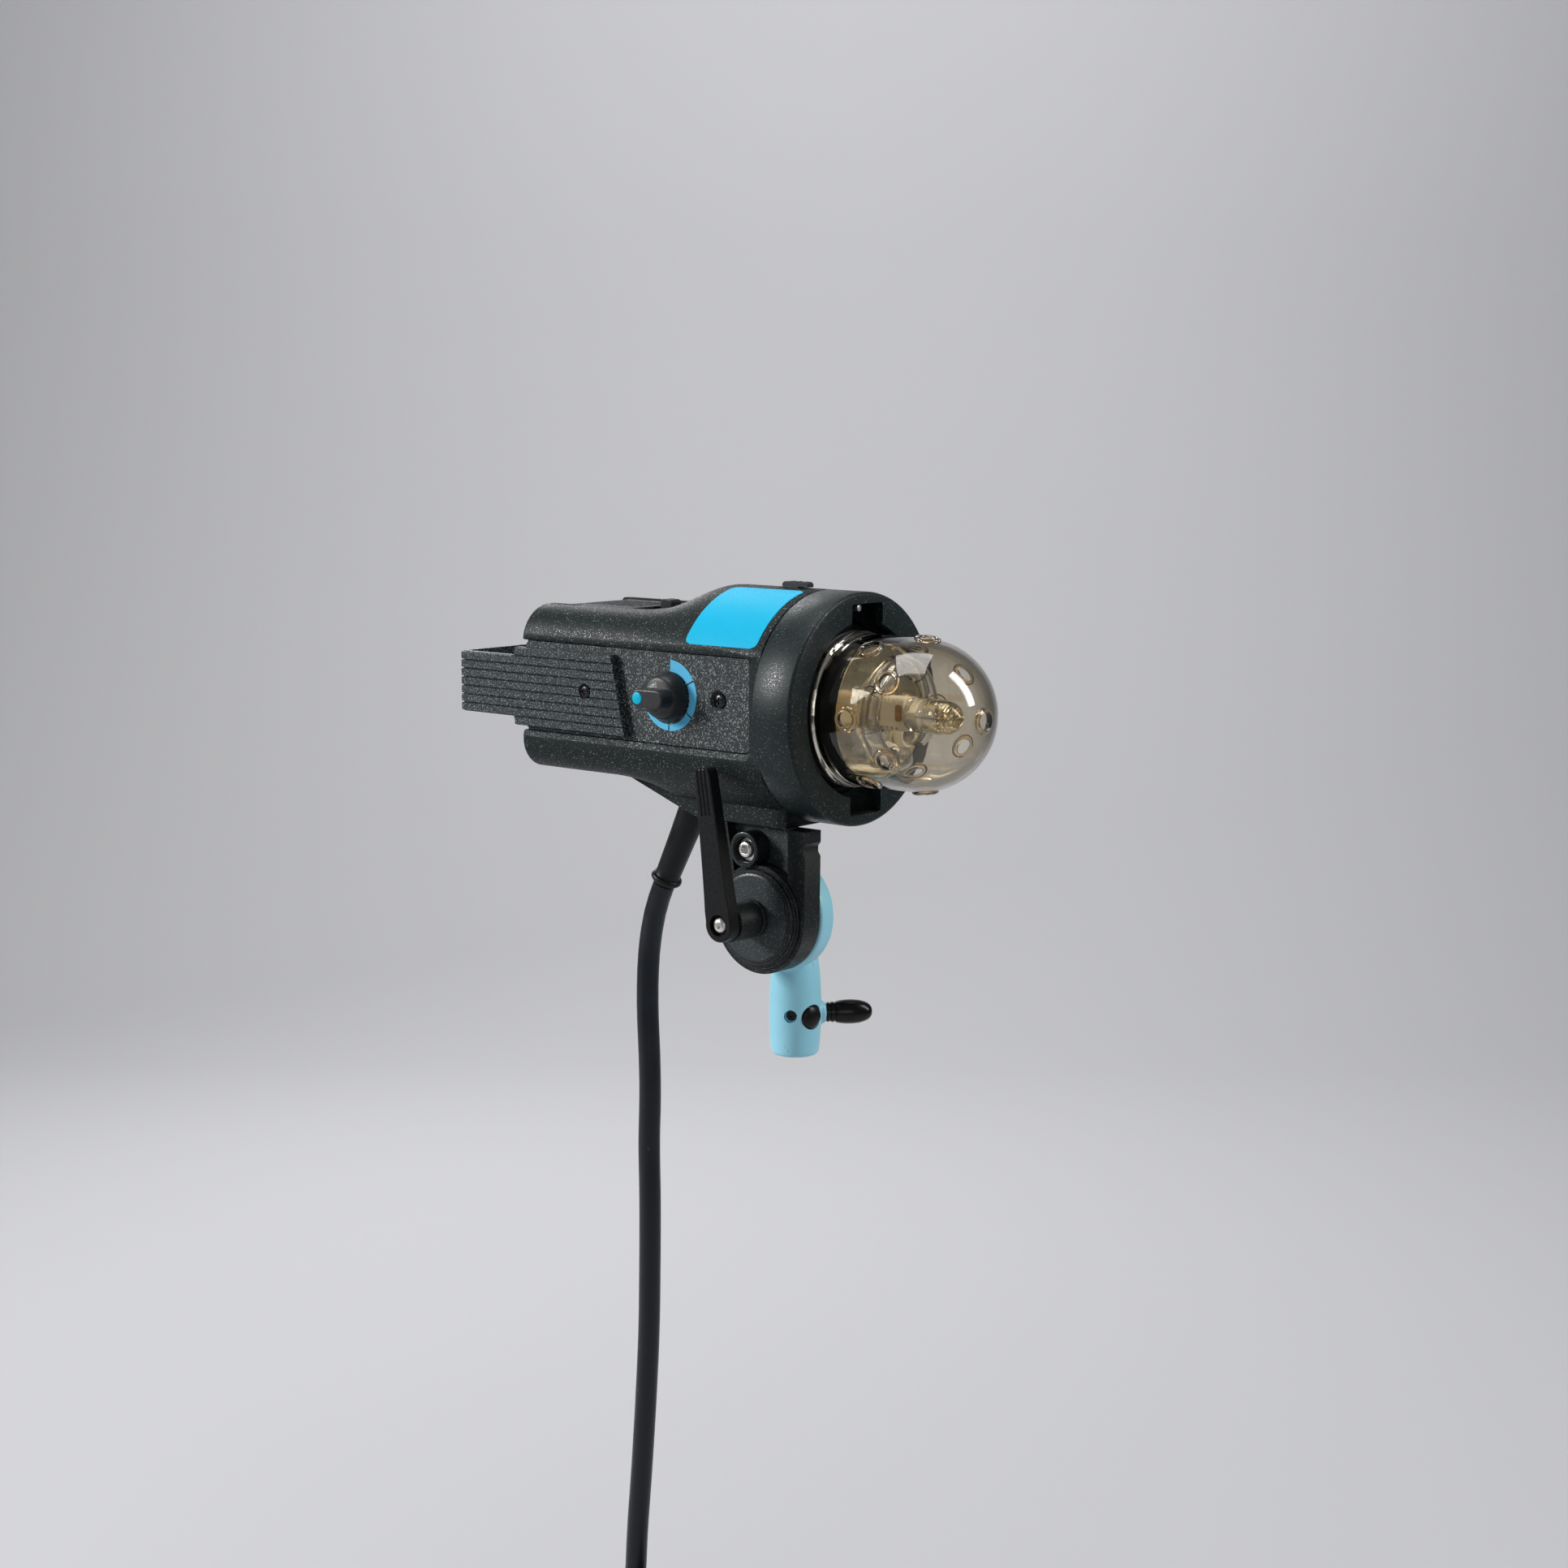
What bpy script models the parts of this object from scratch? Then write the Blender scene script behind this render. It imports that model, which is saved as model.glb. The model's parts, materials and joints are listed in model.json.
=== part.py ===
"""Studio flash head with tilt bracket, stand receiver and lamp cable.

Sizes are in millimetres, turned into metres where a mesh is made. The origin is the centre of the receiver's
socket mouth, +Z is up along the socket and +X is the way the lamp points.
"""

import math

import bmesh
import bpy
from mathutils import Matrix, Vector

MM = 0.001
GAP = 0.3  # between pieces that touch

# Driving dimensions
AXIS_Z = 202.0  # height of the optical axis
PIVOT_Z = 84.5  # height of the tilt axis
DRUM_R = 65.0
SEAM_X = 20.0  # where the housing meets the front collar
FACE_X = 47.0  # the collar's front face
MOUTH_R = 48.7  # the collar's opening
PIN_R = 56.0  # the lock pin's distance from the optical axis
FLANK_Y = 56.0  # the housing's flat sides
REAR_X = -163.0
ROOF_Z = 252.0
FLOOR_Z = 156.0
WALL = 3.5
PANEL_Y = 52.5  # the side panels' outer face
PANEL_Z = (178.5, 231.5)
PANEL_FRONT_X = 10.0
TRIM_Z = 205.0  # mid height of the panels and the strap
STRAP_REAR_X = -216.0
STRAP_Y = 57.5
KNOB_AT = (-49.5, 206.5)  # X and Z of the power knob
SCREW_X = -13.5
DOME_R = 42.0
DOME_CENTRE_X = 86.0
PLATE_X = 55.5  # the reflector plate's rear face
LAMP_X = 72.0  # the plane of the flash tube's ring
TUBE_RING_R = 26.5
TUBE_R = 5.5
ARM_Y = (-34.0, -19.3)  # the tilt bracket's thickness
DISC_R = 32.5
BOLT_R = 5.0
RECEIVER_R = 14.3
SOCKET_R = 8.05
SOCKET_DEPTH = 45.0
LEVER_Y = (-68.0, -59.8)
CABLE_R = 6.6
COIL_RING_R = 68.0
COIL_BUNDLE_R = 20.0
COIL_AT = (-82.1, -441.9)
PLUG_AT = (-157.0, -36.0, -461.0)  # where the tail enters the plug
STRAIN_RELIEF = ((-73.2, 142.0), (-100.0, 88.0))  # X and Z of its two ends

# The cable's route from the strain relief down to the coil: X and Z, with Y at 0
CABLE_ROUTE = (
    (-100.9, 86.2),
    (-104.6, 78.0),
    (-108.2, 68.0),
    (-110.9, 57.0),
    (-113.2, 42.0),
    (-114.4, 22.0),
    (-114.2, 2.0),
    (-113.0, -20.0),
    (-112.5, -45.0),
    (-113.3, -75.0),
    (-112.7, -110.0),
    (-112.9, -150.0),
    (-113.8, -195.0),
    (-116.5, -240.0),
    (-120.0, -285.0),
    (-123.6, -325.0),
    (-125.0, -352.0),
    (-125.0, -359.0),
)
# The tail from the coil's last turn to the plug: X, Y and Z
TAIL_ROUTE = (
    (-151.0, -27.6, -412.0),
    (-154.4, -30.6, -424.0),
    (-156.4, -33.8, -437.0),
    (-157.0, -35.6, -449.0),
    (-157.0, -36.0, -460.7),
)

# ---------------------------------------------------------------- scene and materials

FINISHES = {
    "housing_black": ((0.045, 0.058, 0.06), 0.5, 0.0),
    "panel_grey": ((0.11, 0.125, 0.13), 0.55, 0.0),
    "strap_grey": ((0.085, 0.1, 0.105), 0.6, 0.0),
    "black_plastic": ((0.02, 0.022, 0.024), 0.45, 0.0),
    "bracket_black": ((0.03, 0.034, 0.036), 0.55, 0.3),
    "receiver_blue": ((0.3, 0.66, 0.78), 0.35, 0.0),
    "accent_blue": ((0.2, 0.66, 0.82), 0.5, 0.0),
    "screw_black": ((0.03, 0.03, 0.03), 0.35, 0.8),
    "screw_silver": ((0.75, 0.75, 0.74), 0.25, 1.0),
    "steel": ((0.45, 0.45, 0.46), 0.35, 1.0),
    "brass": ((0.7, 0.55, 0.28), 0.35, 1.0),
    "plate_metal": ((0.72, 0.65, 0.5), 0.2, 1.0),
    "smoked_glass": ((0.6, 0.5, 0.36), 0.05, 0.0),
    "clear_glass": ((0.9, 0.9, 0.88), 0.03, 0.0),
    "ceramic": ((0.75, 0.7, 0.62), 0.5, 0.0),
    "cable_rubber": ((0.02, 0.023, 0.027), 0.5, 0.0),
    "board_green": ((0.03, 0.16, 0.08), 0.5, 0.0),
    "tie_fabric": ((0.03, 0.03, 0.03), 0.9, 0.0),
}


def clear_scene():
    for old in list(bpy.data.objects):
        bpy.data.objects.remove(old)


def material(finish):
    found = bpy.data.materials.get(finish)
    if found:
        return found
    colour, roughness, metallic = FINISHES[finish]
    made = bpy.data.materials.new(finish)
    made.use_nodes = True
    shader = made.node_tree.nodes["Principled BSDF"]
    shader.inputs["Base Color"].default_value = (*colour, 1.0)
    shader.inputs["Roughness"].default_value = roughness
    shader.inputs["Metallic"].default_value = metallic
    made.diffuse_color = (*colour, 1.0)
    return made


def piece(name, points, faces, finish, smooth_deg=35.0):
    """A closed mesh object from points in millimetres; finish None makes a cutter."""
    mesh = bpy.data.meshes.new(name)
    mesh.from_pydata([Vector(p) * MM for p in points], [], faces)
    shape = bmesh.new()
    shape.from_mesh(mesh)
    bmesh.ops.recalc_face_normals(shape, faces=shape.faces)
    shape.to_mesh(mesh)
    shape.free()
    made = bpy.data.objects.new(name, mesh)
    bpy.context.scene.collection.objects.link(made)
    if finish is None:
        made.hide_render = True
        made.display_type = "WIRE"
    else:
        mesh.materials.append(material(finish))
        mesh.shade_smooth()
        mesh.set_sharp_from_angle(angle=math.radians(smooth_deg))
    return made


def boolean(target, tools, operation="DIFFERENCE"):
    """Cut or join with all the tools at once, which rounds the result's points only once."""
    group = bpy.data.collections.new(f"{target.name}_{operation.lower()}")
    for tool in tools:
        group.objects.link(tool)
    step = target.modifiers.new(group.name, "BOOLEAN")
    step.operation = operation
    step.solver = "EXACT"
    step.operand_type = "COLLECTION"
    step.collection = group


def on_circle(count, radius, centre=(0.0, 0.0), start_deg=0.0, sweep_deg=360.0):
    """Points round a circle or, for a smaller sweep, along an arc with both its ends."""
    steps = count if sweep_deg == 360.0 else count - 1
    angles = [math.radians(start_deg + sweep_deg * i / steps) for i in range(count)]
    return [(centre[0] + radius * math.cos(a), centre[1] + radius * math.sin(a)) for a in angles]


def prism(name, outline, along, low, high, finish):
    """An outline extruded along X, Y or Z. The outline's two coordinates are the other axes, in order."""
    place = {
        "x": lambda u, v, w: (w, u, v),
        "y": lambda u, v, w: (u, w, v),
        "z": lambda u, v, w: (u, v, w),
    }[along]
    points = [place(u, v, w) for w in (low, high) for u, v in outline]
    n = len(outline)
    sides = [(i, (i + 1) % n, n + (i + 1) % n, n + i) for i in range(n)]
    ends = [tuple(range(n - 1, -1, -1)), tuple(range(n, 2 * n))]
    return piece(name, points, sides + ends, finish)


def box(name, low, high, finish):
    (x0, y0, z0), (x1, y1, z1) = low, high
    return prism(name, [(x0, y0), (x1, y0), (x1, y1), (x0, y1)], "z", z0, z1, finish)


def turned(name, profile, at, axis, finish, sides=32, ring=False, smooth_deg=35.0):
    """A profile of (distance along the axis, radius) turned about the axis through the point at.

    A ring's profile is a closed loop; otherwise it runs from the axis out and back to the axis.
    """
    turn = Vector((0, 0, 1)).rotation_difference(Vector(axis)).to_matrix()
    points, rings = [], []
    for along, radius in profile:
        if radius < 1e-6:
            rings.append([len(points)])
            points.append(turn @ Vector((0, 0, along)) + Vector(at))
        else:
            rings.append(list(range(len(points), len(points) + sides)))
            points += [turn @ Vector((x, y, along)) + Vector(at) for x, y in on_circle(sides, radius)]
    faces = []
    pairs = list(zip(rings, rings[1:])) + ([(rings[-1], rings[0])] if ring else [])
    for a, b in pairs:
        for i in range(sides):
            j = (i + 1) % sides
            corners = [a[i % len(a)], a[j % len(a)], b[j % len(b)], b[i % len(b)]]
            face = list(dict.fromkeys(corners))
            if len(face) > 2:
                faces.append(face)
    return piece(name, points, faces, finish, smooth_deg)


def rod(name, start, end, radius, finish, sides=16):
    """A plain round bar between two points."""
    line = Vector(end) - Vector(start)
    profile = [(0, 0), (0, radius), (line.length, radius), (line.length, 0)]
    return turned(name, profile, start, line, finish, sides)


def loft(name, sections, finish, smooth_deg=35.0):
    """Rings with the same number of points, joined in order and capped at both ends."""
    n = len(sections[0])
    points = [p for section in sections for p in section]
    faces = []
    for k in range(len(sections) - 1):
        a, b = k * n, (k + 1) * n
        faces += [(a + i, a + (i + 1) % n, b + (i + 1) % n, b + i) for i in range(n)]
    last = (len(sections) - 1) * n
    faces += [tuple(range(n - 1, -1, -1)), tuple(range(last, last + n))]
    return piece(name, points, faces, finish, smooth_deg)


def swept(name, path, radius, finish, sides=10):
    """A round tube along a path, its rings turned as little as possible from one to the next."""
    path = [Vector(p) for p in path]
    tangents = [(path[min(i + 1, len(path) - 1)] - path[max(i - 1, 0)]).normalized() for i in range(len(path))]
    side = tangents[0].orthogonal().normalized()
    sections = []
    for centre, tangent in zip(path, tangents):
        side = (side - tangent * side.dot(tangent)).normalized()
        other = tangent.cross(side)
        sections.append([centre + side * u + other * v for u, v in on_circle(sides, radius)])
    return loft(name, sections, finish)


def smooth_through(points, step):
    """Points about a step apart on a smooth curve through the given ones (centripetal Catmull-Rom)."""
    knots = [Vector(p) for p in points]
    knots = [knots[0] * 2 - knots[1], *knots, knots[-1] * 2 - knots[-2]]
    out = []
    for a, b, c, d in zip(knots, knots[1:], knots[2:], knots[3:]):
        count = max(1, round((c - b).length / step))
        t0 = 0.0
        t1 = t0 + (b - a).length ** 0.5
        t2 = t1 + (c - b).length ** 0.5
        t3 = t2 + (d - c).length ** 0.5
        for i in range(count):
            t = t1 + (t2 - t1) * i / count
            p = a * ((t1 - t) / (t1 - t0)) + b * ((t - t0) / (t1 - t0))
            q = b * ((t2 - t) / (t2 - t1)) + c * ((t - t1) / (t2 - t1))
            r = c * ((t3 - t) / (t3 - t2)) + d * ((t - t2) / (t3 - t2))
            left = p * ((t2 - t) / (t2 - t0)) + q * ((t - t0) / (t2 - t0))
            right = q * ((t3 - t) / (t3 - t1)) + r * ((t - t1) / (t3 - t1))
            out.append(left * ((t2 - t) / (t2 - t1)) + right * ((t - t1) / (t2 - t1)))
    return [*out, knots[-2]]


def cable(name, route, finish):
    """A cable as a bevelled poly curve along a smooth route."""
    line = bpy.data.curves.new(name, "CURVE")
    line.dimensions = "3D"
    line.bevel_depth = CABLE_R * MM
    line.bevel_resolution = 3
    line.use_fill_caps = True
    points = smooth_through(route, 2.4 * 2 * CABLE_R)
    spline = line.splines.new("POLY")
    spline.points.add(len(points) - 1)
    for knot, p in zip(spline.points, points):
        knot.co = (*(p * MM), 1.0)
    line.materials.append(material(finish))
    made = bpy.data.objects.new(name, line)
    bpy.context.scene.collection.objects.link(made)
    return made


def blend(low, high, x):
    """0 below low, 1 above high and an S-shaped step between them."""
    t = min(1.0, max(0.0, (x - low) / (high - low)))
    return t * t * (3 - 2 * t)


# ---------------------------------------------------------------- housing

HOUSING_CENTRE_Z = 204.0


def box_reach(angle, inset, flank):
    """How far the rear box's rounded outline lies from the middle of the housing, at an angle."""
    direction = (math.cos(angle), math.sin(angle))
    low, high = 0.0, 120.0
    for _ in range(40):
        reach = (low + high) / 2
        y, z = direction[0] * reach, HOUSING_CENTRE_Z + direction[1] * reach
        corner = (22.0 if z > HOUSING_CENTRE_Z else 17.0) - inset * 0.5
        half_y = flank - corner
        over_y = abs(y) - half_y
        over_z = (z - (ROOF_Z - inset - corner)) if z > HOUSING_CENTRE_Z else (FLOOR_Z + inset + corner - z)
        away = math.hypot(max(over_y, 0), max(over_z, 0)) + min(max(over_y, over_z), 0) - corner
        low, high = (reach, high) if away < 0 else (low, reach)
    return low


def drum_reach(angle, inset, flank):
    """The same for the front drum, a circle with two flats."""
    drop = AXIS_Z - HOUSING_CENTRE_Z
    radius = DRUM_R - inset
    across = math.sin(angle) * drop
    reach = across + math.sqrt(across * across + radius * radius - drop * drop)
    return min(reach, flank / max(abs(math.cos(angle)), 1e-6))


def housing_section(x, inset, flank, count=40):
    """The housing's outline at a distance along X, moved in by inset, with its sides at flank."""
    section = []
    for i in range(count):
        angle = 2 * math.pi * (i + 0.5) / count
        span = (-84.0, -42.0) if math.sin(angle) > 0 else (-100.0, -56.0)
        share = blend(*span, x)
        reach = (1 - share) * box_reach(angle, inset, flank) + share * drum_reach(angle, inset, flank)
        section.append((x, math.cos(angle) * reach, HOUSING_CENTRE_Z + math.sin(angle) * reach))
    return section


def housing_body():
    stations = (-160.5, -130.0, -104.0, -92.0, -84.0, -76.0, -68.0, -60.0, -52.0, -42.0, -10.0)
    outside = [housing_section(REAR_X, 2.5, FLANK_Y - 2.5)]
    outside += [housing_section(x, 0.0, FLANK_Y) for x in stations]
    outside += [housing_section(SEAM_X - GAP, 0.0, FLANK_Y)]
    body = loft("housing_body", outside, "housing_black")
    keel = prism(
        "keel_form",
        [(-106.0, 160.0), (-100.0, 155.4), (-47.0, 136.0), (SEAM_X - GAP - 0.4, 136.0), (SEAM_X - GAP - 0.4, 160.0)],
        "y", -33.0, 33.0, None,
    )
    boolean(body, [keel], "UNION")
    inner_flank = FLANK_Y - 8.5
    inside = [housing_section(x, WALL, inner_flank) for x in (REAR_X - 5, *stations, SEAM_X + 5)]
    hollow = loft("hollow_form", inside, None)
    tools = [hollow]
    for side in (-1, 1):
        y0, y1 = sorted((side * (PANEL_Y - 2.0 - GAP), side * 75.0))
        tools.append(
            box(f"recess_form_{side + 1}", (REAR_X - 5, y0, PANEL_Z[0]), (PANEL_FRONT_X, y1, PANEL_Z[1]), None)
        )
    tools.append(box("latch_slot_form", (-12.0, -3.2, 255.0), (8.0, 3.2, 275.0), None))
    tools.append(box("roof_recess_form", (-152.0, -26.0, ROOF_Z - 2.0), (-84.0, 26.0, ROOF_Z + 5), None))
    tools.append(box("switch_slot_form", (-100.5, -5.0, 240.0), (-87.0, 5.0, 262.0), None))
    tools.append(box("vent_form", (-149.0, -20.0, 240.0), (-125.0, 20.0, 262.0), None))
    start, end = (Vector((x, 0, z)) for x, z in STRAIN_RELIEF)
    tools.append(rod("gland_hole_form", start * 1.4 - end * 0.4, end, 7.6, None, 24))
    tools.append(rod("knob_hole_form", (KNOB_AT[0], -70, KNOB_AT[1]), (KNOB_AT[0], -30, KNOB_AT[1]), 5.0, None))
    boolean(body, tools)
    return body


def rear_cover():
    """The plate in the housing's rear mouth, with vent slots."""
    section = [(y, z) for _, y, z in housing_section(REAR_X, WALL + GAP, FLANK_Y - 8.5 - GAP, 40)]
    cover = prism("rear_cover", section, "x", REAR_X + 1.5, REAR_X + 4.0, "housing_black")
    slots = [
        box(f"rear_slot_form_{i}", (REAR_X - 5, -30, 178 + 8 * i), (REAR_X + 9, 30, 181 + 8 * i), None)
        for i in range(7)
    ]
    boolean(cover, slots)
    return cover


def side_panel(name, side):
    y0, y1 = sorted((side * PANEL_Y, side * (PANEL_Y - 2.0)))
    low, high = PANEL_Z[0] + GAP, PANEL_Z[1] - GAP
    outline = [(REAR_X + 0.5, low), (PANEL_FRONT_X - GAP, low), (PANEL_FRONT_X - GAP, high), (REAR_X + 0.5, high)]
    panel = prism(name, outline, "y", y0, y1, "panel_grey")
    holes = [rod(f"{name}_screw_form", (SCREW_X, 0, TRIM_Z + 1.5), (SCREW_X, side * 70, TRIM_Z + 1.5), 5.3, None)]
    if side < 0:
        holes.append(rod("shaft_form", (KNOB_AT[0], -70, KNOB_AT[1]), (KNOB_AT[0], -30, KNOB_AT[1]), 5.0, None))
    boolean(panel, holes)
    return panel


def domed_screw(name, x, y, z, side, radius, finish="screw_black"):
    """A round-headed cross-slot screw whose head stands out from y on one side."""
    profile = [(GAP, 0), (GAP, radius), (1.2, radius * 0.85), (1.9, radius * 0.5), (2.0, 0)]
    screw = turned(name, profile, (x, y, z), (0, side, 0), finish, 14)
    tools = []
    for label, long, tall in (("a", 3.6, 0.9), ("b", 0.9, 3.6)):
        y0, y1 = sorted((y + side * 1.0, y + side * 6.0))
        tools.append(
            box(f"{name}_cut_{label}", (x - long / 2, y0, z - tall / 2), (x + long / 2, y1, z + tall / 2), None)
        )
    boolean(screw, tools)
    return screw


def strap_path():
    """The strap's centre line seen from above, with the way out of the strap at each point."""
    corner = 7.0
    path = []
    for side in (-1, 1):
        along = [(-85.0, side * STRAP_Y, (0, side)), (-150.0, side * STRAP_Y, (0, side))]
        turn = []
        for i in range(5):
            angle = math.radians(90 * i / 4)
            out = (-math.sin(angle), side * math.cos(angle))
            centre = (STRAP_REAR_X + corner, side * (STRAP_Y - corner))
            turn.append((centre[0] + corner * out[0], centre[1] + corner * out[1], out))
        path.append(along + turn)
    return path[0] + path[1][::-1]


def strap_section(x, y, out, thickness, slanted):
    """Nine rounded ribs on the outer side and a flat inner side, at one point of the strap's path."""
    ribs, pitch, height = 9, 5.1, 1.1
    half = ribs * pitch / 2
    outer = [(-half, -height)]
    for rib in range(ribs):
        base = -half + rib * pitch
        outer += [(base + pitch * 0.12, -height * 0.2), (base + pitch * 0.5, 0.0), (base + pitch * 0.88, -height * 0.2)]
        outer.append((base + pitch, -height))
    section = []
    for up, depth in [*outer, (half, -thickness), (-half, -thickness)]:
        lean = -0.235 * up if slanted else 0.0
        section.append((x + lean + out[0] * depth, y + out[1] * depth, TRIM_Z - 0.8 + up))
    return section


def handle_strap():
    """A ribbed U-shaped strap: on both side panels, and across the rear at a narrower height."""
    path = strap_path()
    thickness = STRAP_Y - PANEL_Y - GAP
    last = len(path) - 1
    sections = [strap_section(x, y, out, thickness, k in (0, last)) for k, (x, y, out) in enumerate(path)]
    strap = loft("handle_strap", sections, "strap_grey", 25.0)
    half = 9 * 5.1 / 2
    notch = half - 4.6
    middle = TRIM_Z - 0.8
    tools = [
        box("strap_top_form", (STRAP_REAR_X - 9, -80, middle + notch), (-167.0, 80, middle + 40), None),
        box("strap_low_form", (STRAP_REAR_X - 9, -80, middle - 40), (-167.0, 80, middle - notch), None),
    ]
    for side in (-1, 1):
        start, end = (-110.5, side * (STRAP_Y - 1.6), TRIM_Z), (-110.5, side * 80, TRIM_Z)
        tools.append(rod(f"strap_screw_form_{side + 1}", start, end, 4.4, None))
    boolean(strap, tools)
    return strap


def roof_pieces():
    vent = box("top_vent_cover", (-151.0, -25.0, ROOF_Z - 1.7), (-103.0, 25.0, ROOF_Z - 0.5), "housing_black")
    slots = [
        box(f"top_slot_form_{i}", (-148.0 + 2.6 * i, -18, 240), (-147.0 + 2.6 * i, 18, 260), None) for i in range(9)
    ]
    boolean(vent, slots)
    return [vent]


def top_switch():
    """A small slide switch that stands out of the roof."""
    outline = [(-100.0, ROOF_Z - 6), (-91.0, ROOF_Z - 6), (-91.0, ROOF_Z + 3.4), (-93.0, ROOF_Z + 4.0),
               (-98.4, ROOF_Z + 4.0), (-100.0, ROOF_Z + 1.0)]  # fmt: skip
    return prism("top_switch", outline, "y", -4.5, 4.5, "black_plastic")


# ---------------------------------------------------------------- front collar and lock


def front_collar():
    profile = [(SEAM_X, 52.0), (SEAM_X, DRUM_R), (FACE_X - 0.8, DRUM_R), (FACE_X, DRUM_R - 0.8), (FACE_X, MOUTH_R),
               (FACE_X - 5.0, MOUTH_R), (FACE_X - 5.0, 60.0), (SEAM_X + 5.0, 60.0), (SEAM_X + 5.0, 52.0)]  # fmt: skip
    collar = turned("front_collar", profile, (0, 0, AXIS_Z), (1, 0, 0), "housing_black", 48, ring=True)
    tools = [
        box("notch_form_top", (FACE_X - 6, -14, AXIS_Z + 40), (FACE_X + 5, 14, AXIS_Z + PIN_R + 2.5), None),
        box("notch_form_low", (FACE_X - 6, -14, AXIS_Z - PIN_R - 2.5), (FACE_X + 5, 14, AXIS_Z - 40), None),
        rod("pin_hole_form", (SEAM_X - 5, 0, AXIS_Z + PIN_R), (SEAM_X + 10, 0, AXIS_Z + PIN_R), 2.4, None),
    ]
    boolean(collar, tools)
    return collar


def release_latch():
    """The slider on the drum's top with the stem that draws the lock pin back."""
    outline = [(-9.5, 267.4), (-2.0, 267.4), (-2.0, 258.4), (2.0, 258.4), (2.0, 267.4), (9.0, 267.4), (9.0, 270.0),
               (7.5, 270.8), (-8.0, 270.8), (-9.5, 270.0)]  # fmt: skip
    return prism("release_latch", outline, "y", -2.8, 2.8, "black_plastic")


def lock_pin():
    """The spring pin that holds a reflector's bayonet; its collar sits against the latch's stem."""
    profile = [(2.3, 0), (2.3, 2.0), (43.0, 2.0), (43.6, 1.2), (43.6, 0)]
    return turned("lock_pin", profile, (0, 0, AXIS_Z + PIN_R), (1, 0, 0), "steel", 16)


# ---------------------------------------------------------------- lamp


def lamp_base():
    """The black base that closes the well, carries the lamps and holds the dome's rim."""
    profile = [(15.0, 13.0), (15.0, 36.5), (27.0, 36.5), (27.0, 47.5), (31.0, 47.5), (31.0, 36.5), (PLATE_X - GAP, 36.5),
               (PLATE_X - GAP, 13.0)]  # fmt: skip
    return turned("lamp_base", profile, (0, 0, AXIS_Z), (1, 0, 0), "black_plastic", 32, ring=True)


def heat_shield():
    """The bulkhead behind the lamp base, which keeps the lamps' heat out of the housing."""
    profile = [(10.0, 12.0), (10.0, 47.0), (14.5, 47.0), (14.5, 12.0)]
    return turned("heat_shield", profile, (0, 0, AXIS_Z), (1, 0, 0), "steel", 32, ring=True)


def leg_places():
    """Y and Z of the flash tube's two legs."""
    angles = [math.radians(a) for a in (-75, -35)]
    return [(TUBE_RING_R * math.cos(a), AXIS_Z + TUBE_RING_R * math.sin(a)) for a in angles]


def reflector_plate():
    profile = [(PLATE_X, 12.5), (PLATE_X, 39.0), (PLATE_X + 1.2, 39.0), (PLATE_X + 1.2, 12.5)]
    plate = turned("reflector_plate", profile, (0, 0, AXIS_Z), (1, 0, 0), "plate_metal", 32, ring=True)
    tools = [
        rod(f"leg_form_{i}", (PLATE_X - 5, y, z), (PLATE_X + 5, y, z), TUBE_R + 0.9, None, 10)
        for i, (y, z) in enumerate(leg_places())
    ]
    boolean(plate, tools)
    return plate


def tube_socket(name, y, z):
    near, far = TUBE_R + 0.4, TUBE_R + 2.2
    profile = [(PLATE_X + 1.5, near), (PLATE_X + 1.5, far), (PLATE_X + 6.5, far), (PLATE_X + 6.5, near)]
    return turned(name, profile, (0, y, z), (1, 0, 0), "ceramic", 14, ring=True)


def flash_tube():
    """A glass ring, open at its lower side, with two legs that go back into their sockets."""
    start, sweep = -20.0, 290.0
    ring = [(LAMP_X, y, AXIS_Z + z) for y, z in on_circle(24, TUBE_RING_R, (0, 0), start, sweep)]
    first, last = leg_places()[1], leg_places()[0]
    legs = [
        [(PLATE_X + 0.2, *first), (PLATE_X + 7, *first), (LAMP_X - 4.0, *first)],
        [(LAMP_X - 4.0, *last), (PLATE_X + 7, *last), (PLATE_X + 0.2, *last)],
    ]
    return swept("flash_tube", legs[0] + ring + legs[1], TUBE_R, "clear_glass", 8)


def trigger_wire():
    """A fine wire ring round the outside of the flash tube."""
    ring = on_circle(4, 0.45, (0.0, TUBE_RING_R + TUBE_R + 0.9))
    return turned("trigger_wire", ring, (LAMP_X, 0, AXIS_Z), (1, 0, 0), "steel", 28, ring=True)


def modelling_lamp():
    profile = [(80.3, 0), (80.3, 8.8), (82.0, 9.5), (104.0, 9.5), (109.0, 8.0), (112.2, 4.5), (113.0, 1.6), (113.6, 0)]
    return turned("modelling_lamp", profile, (0, 0, AXIS_Z), (1, 0, 0), "clear_glass", 16)


def lamp_socket():
    outline = [(-7.5, AXIS_Z - 9), (7.5, AXIS_Z - 9), (7.5, AXIS_Z + 9), (-7.5, AXIS_Z + 9)]
    socket = prism("lamp_socket", outline, "x", PLATE_X - 6, 80.0, "ceramic")
    fins = [box(f"fin_form_{i}", (58.5 + 3 * i, -9, AXIS_Z + 7), (60.0 + 3 * i, 9, AXIS_Z + 12), None) for i in range(6)]
    boolean(socket, fins)
    return socket


def vent_places():
    """Centre and outward direction of each vent hole in the dome."""
    places = []
    for x, first in ((67.5, 0), (88.0, 30)):
        for k in range(6):
            angle = math.radians(first + 60 * k)
            out = (0.0, -math.cos(angle), math.sin(angle))
            if x > DOME_CENTRE_X:
                out = (0.05, out[1], out[2])
            places.append(((x, 0.0, AXIS_Z), out))
    places.append(((DOME_CENTRE_X, 0.0, AXIS_Z), (1.0, 0.0, 0.0)))
    return places


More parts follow.
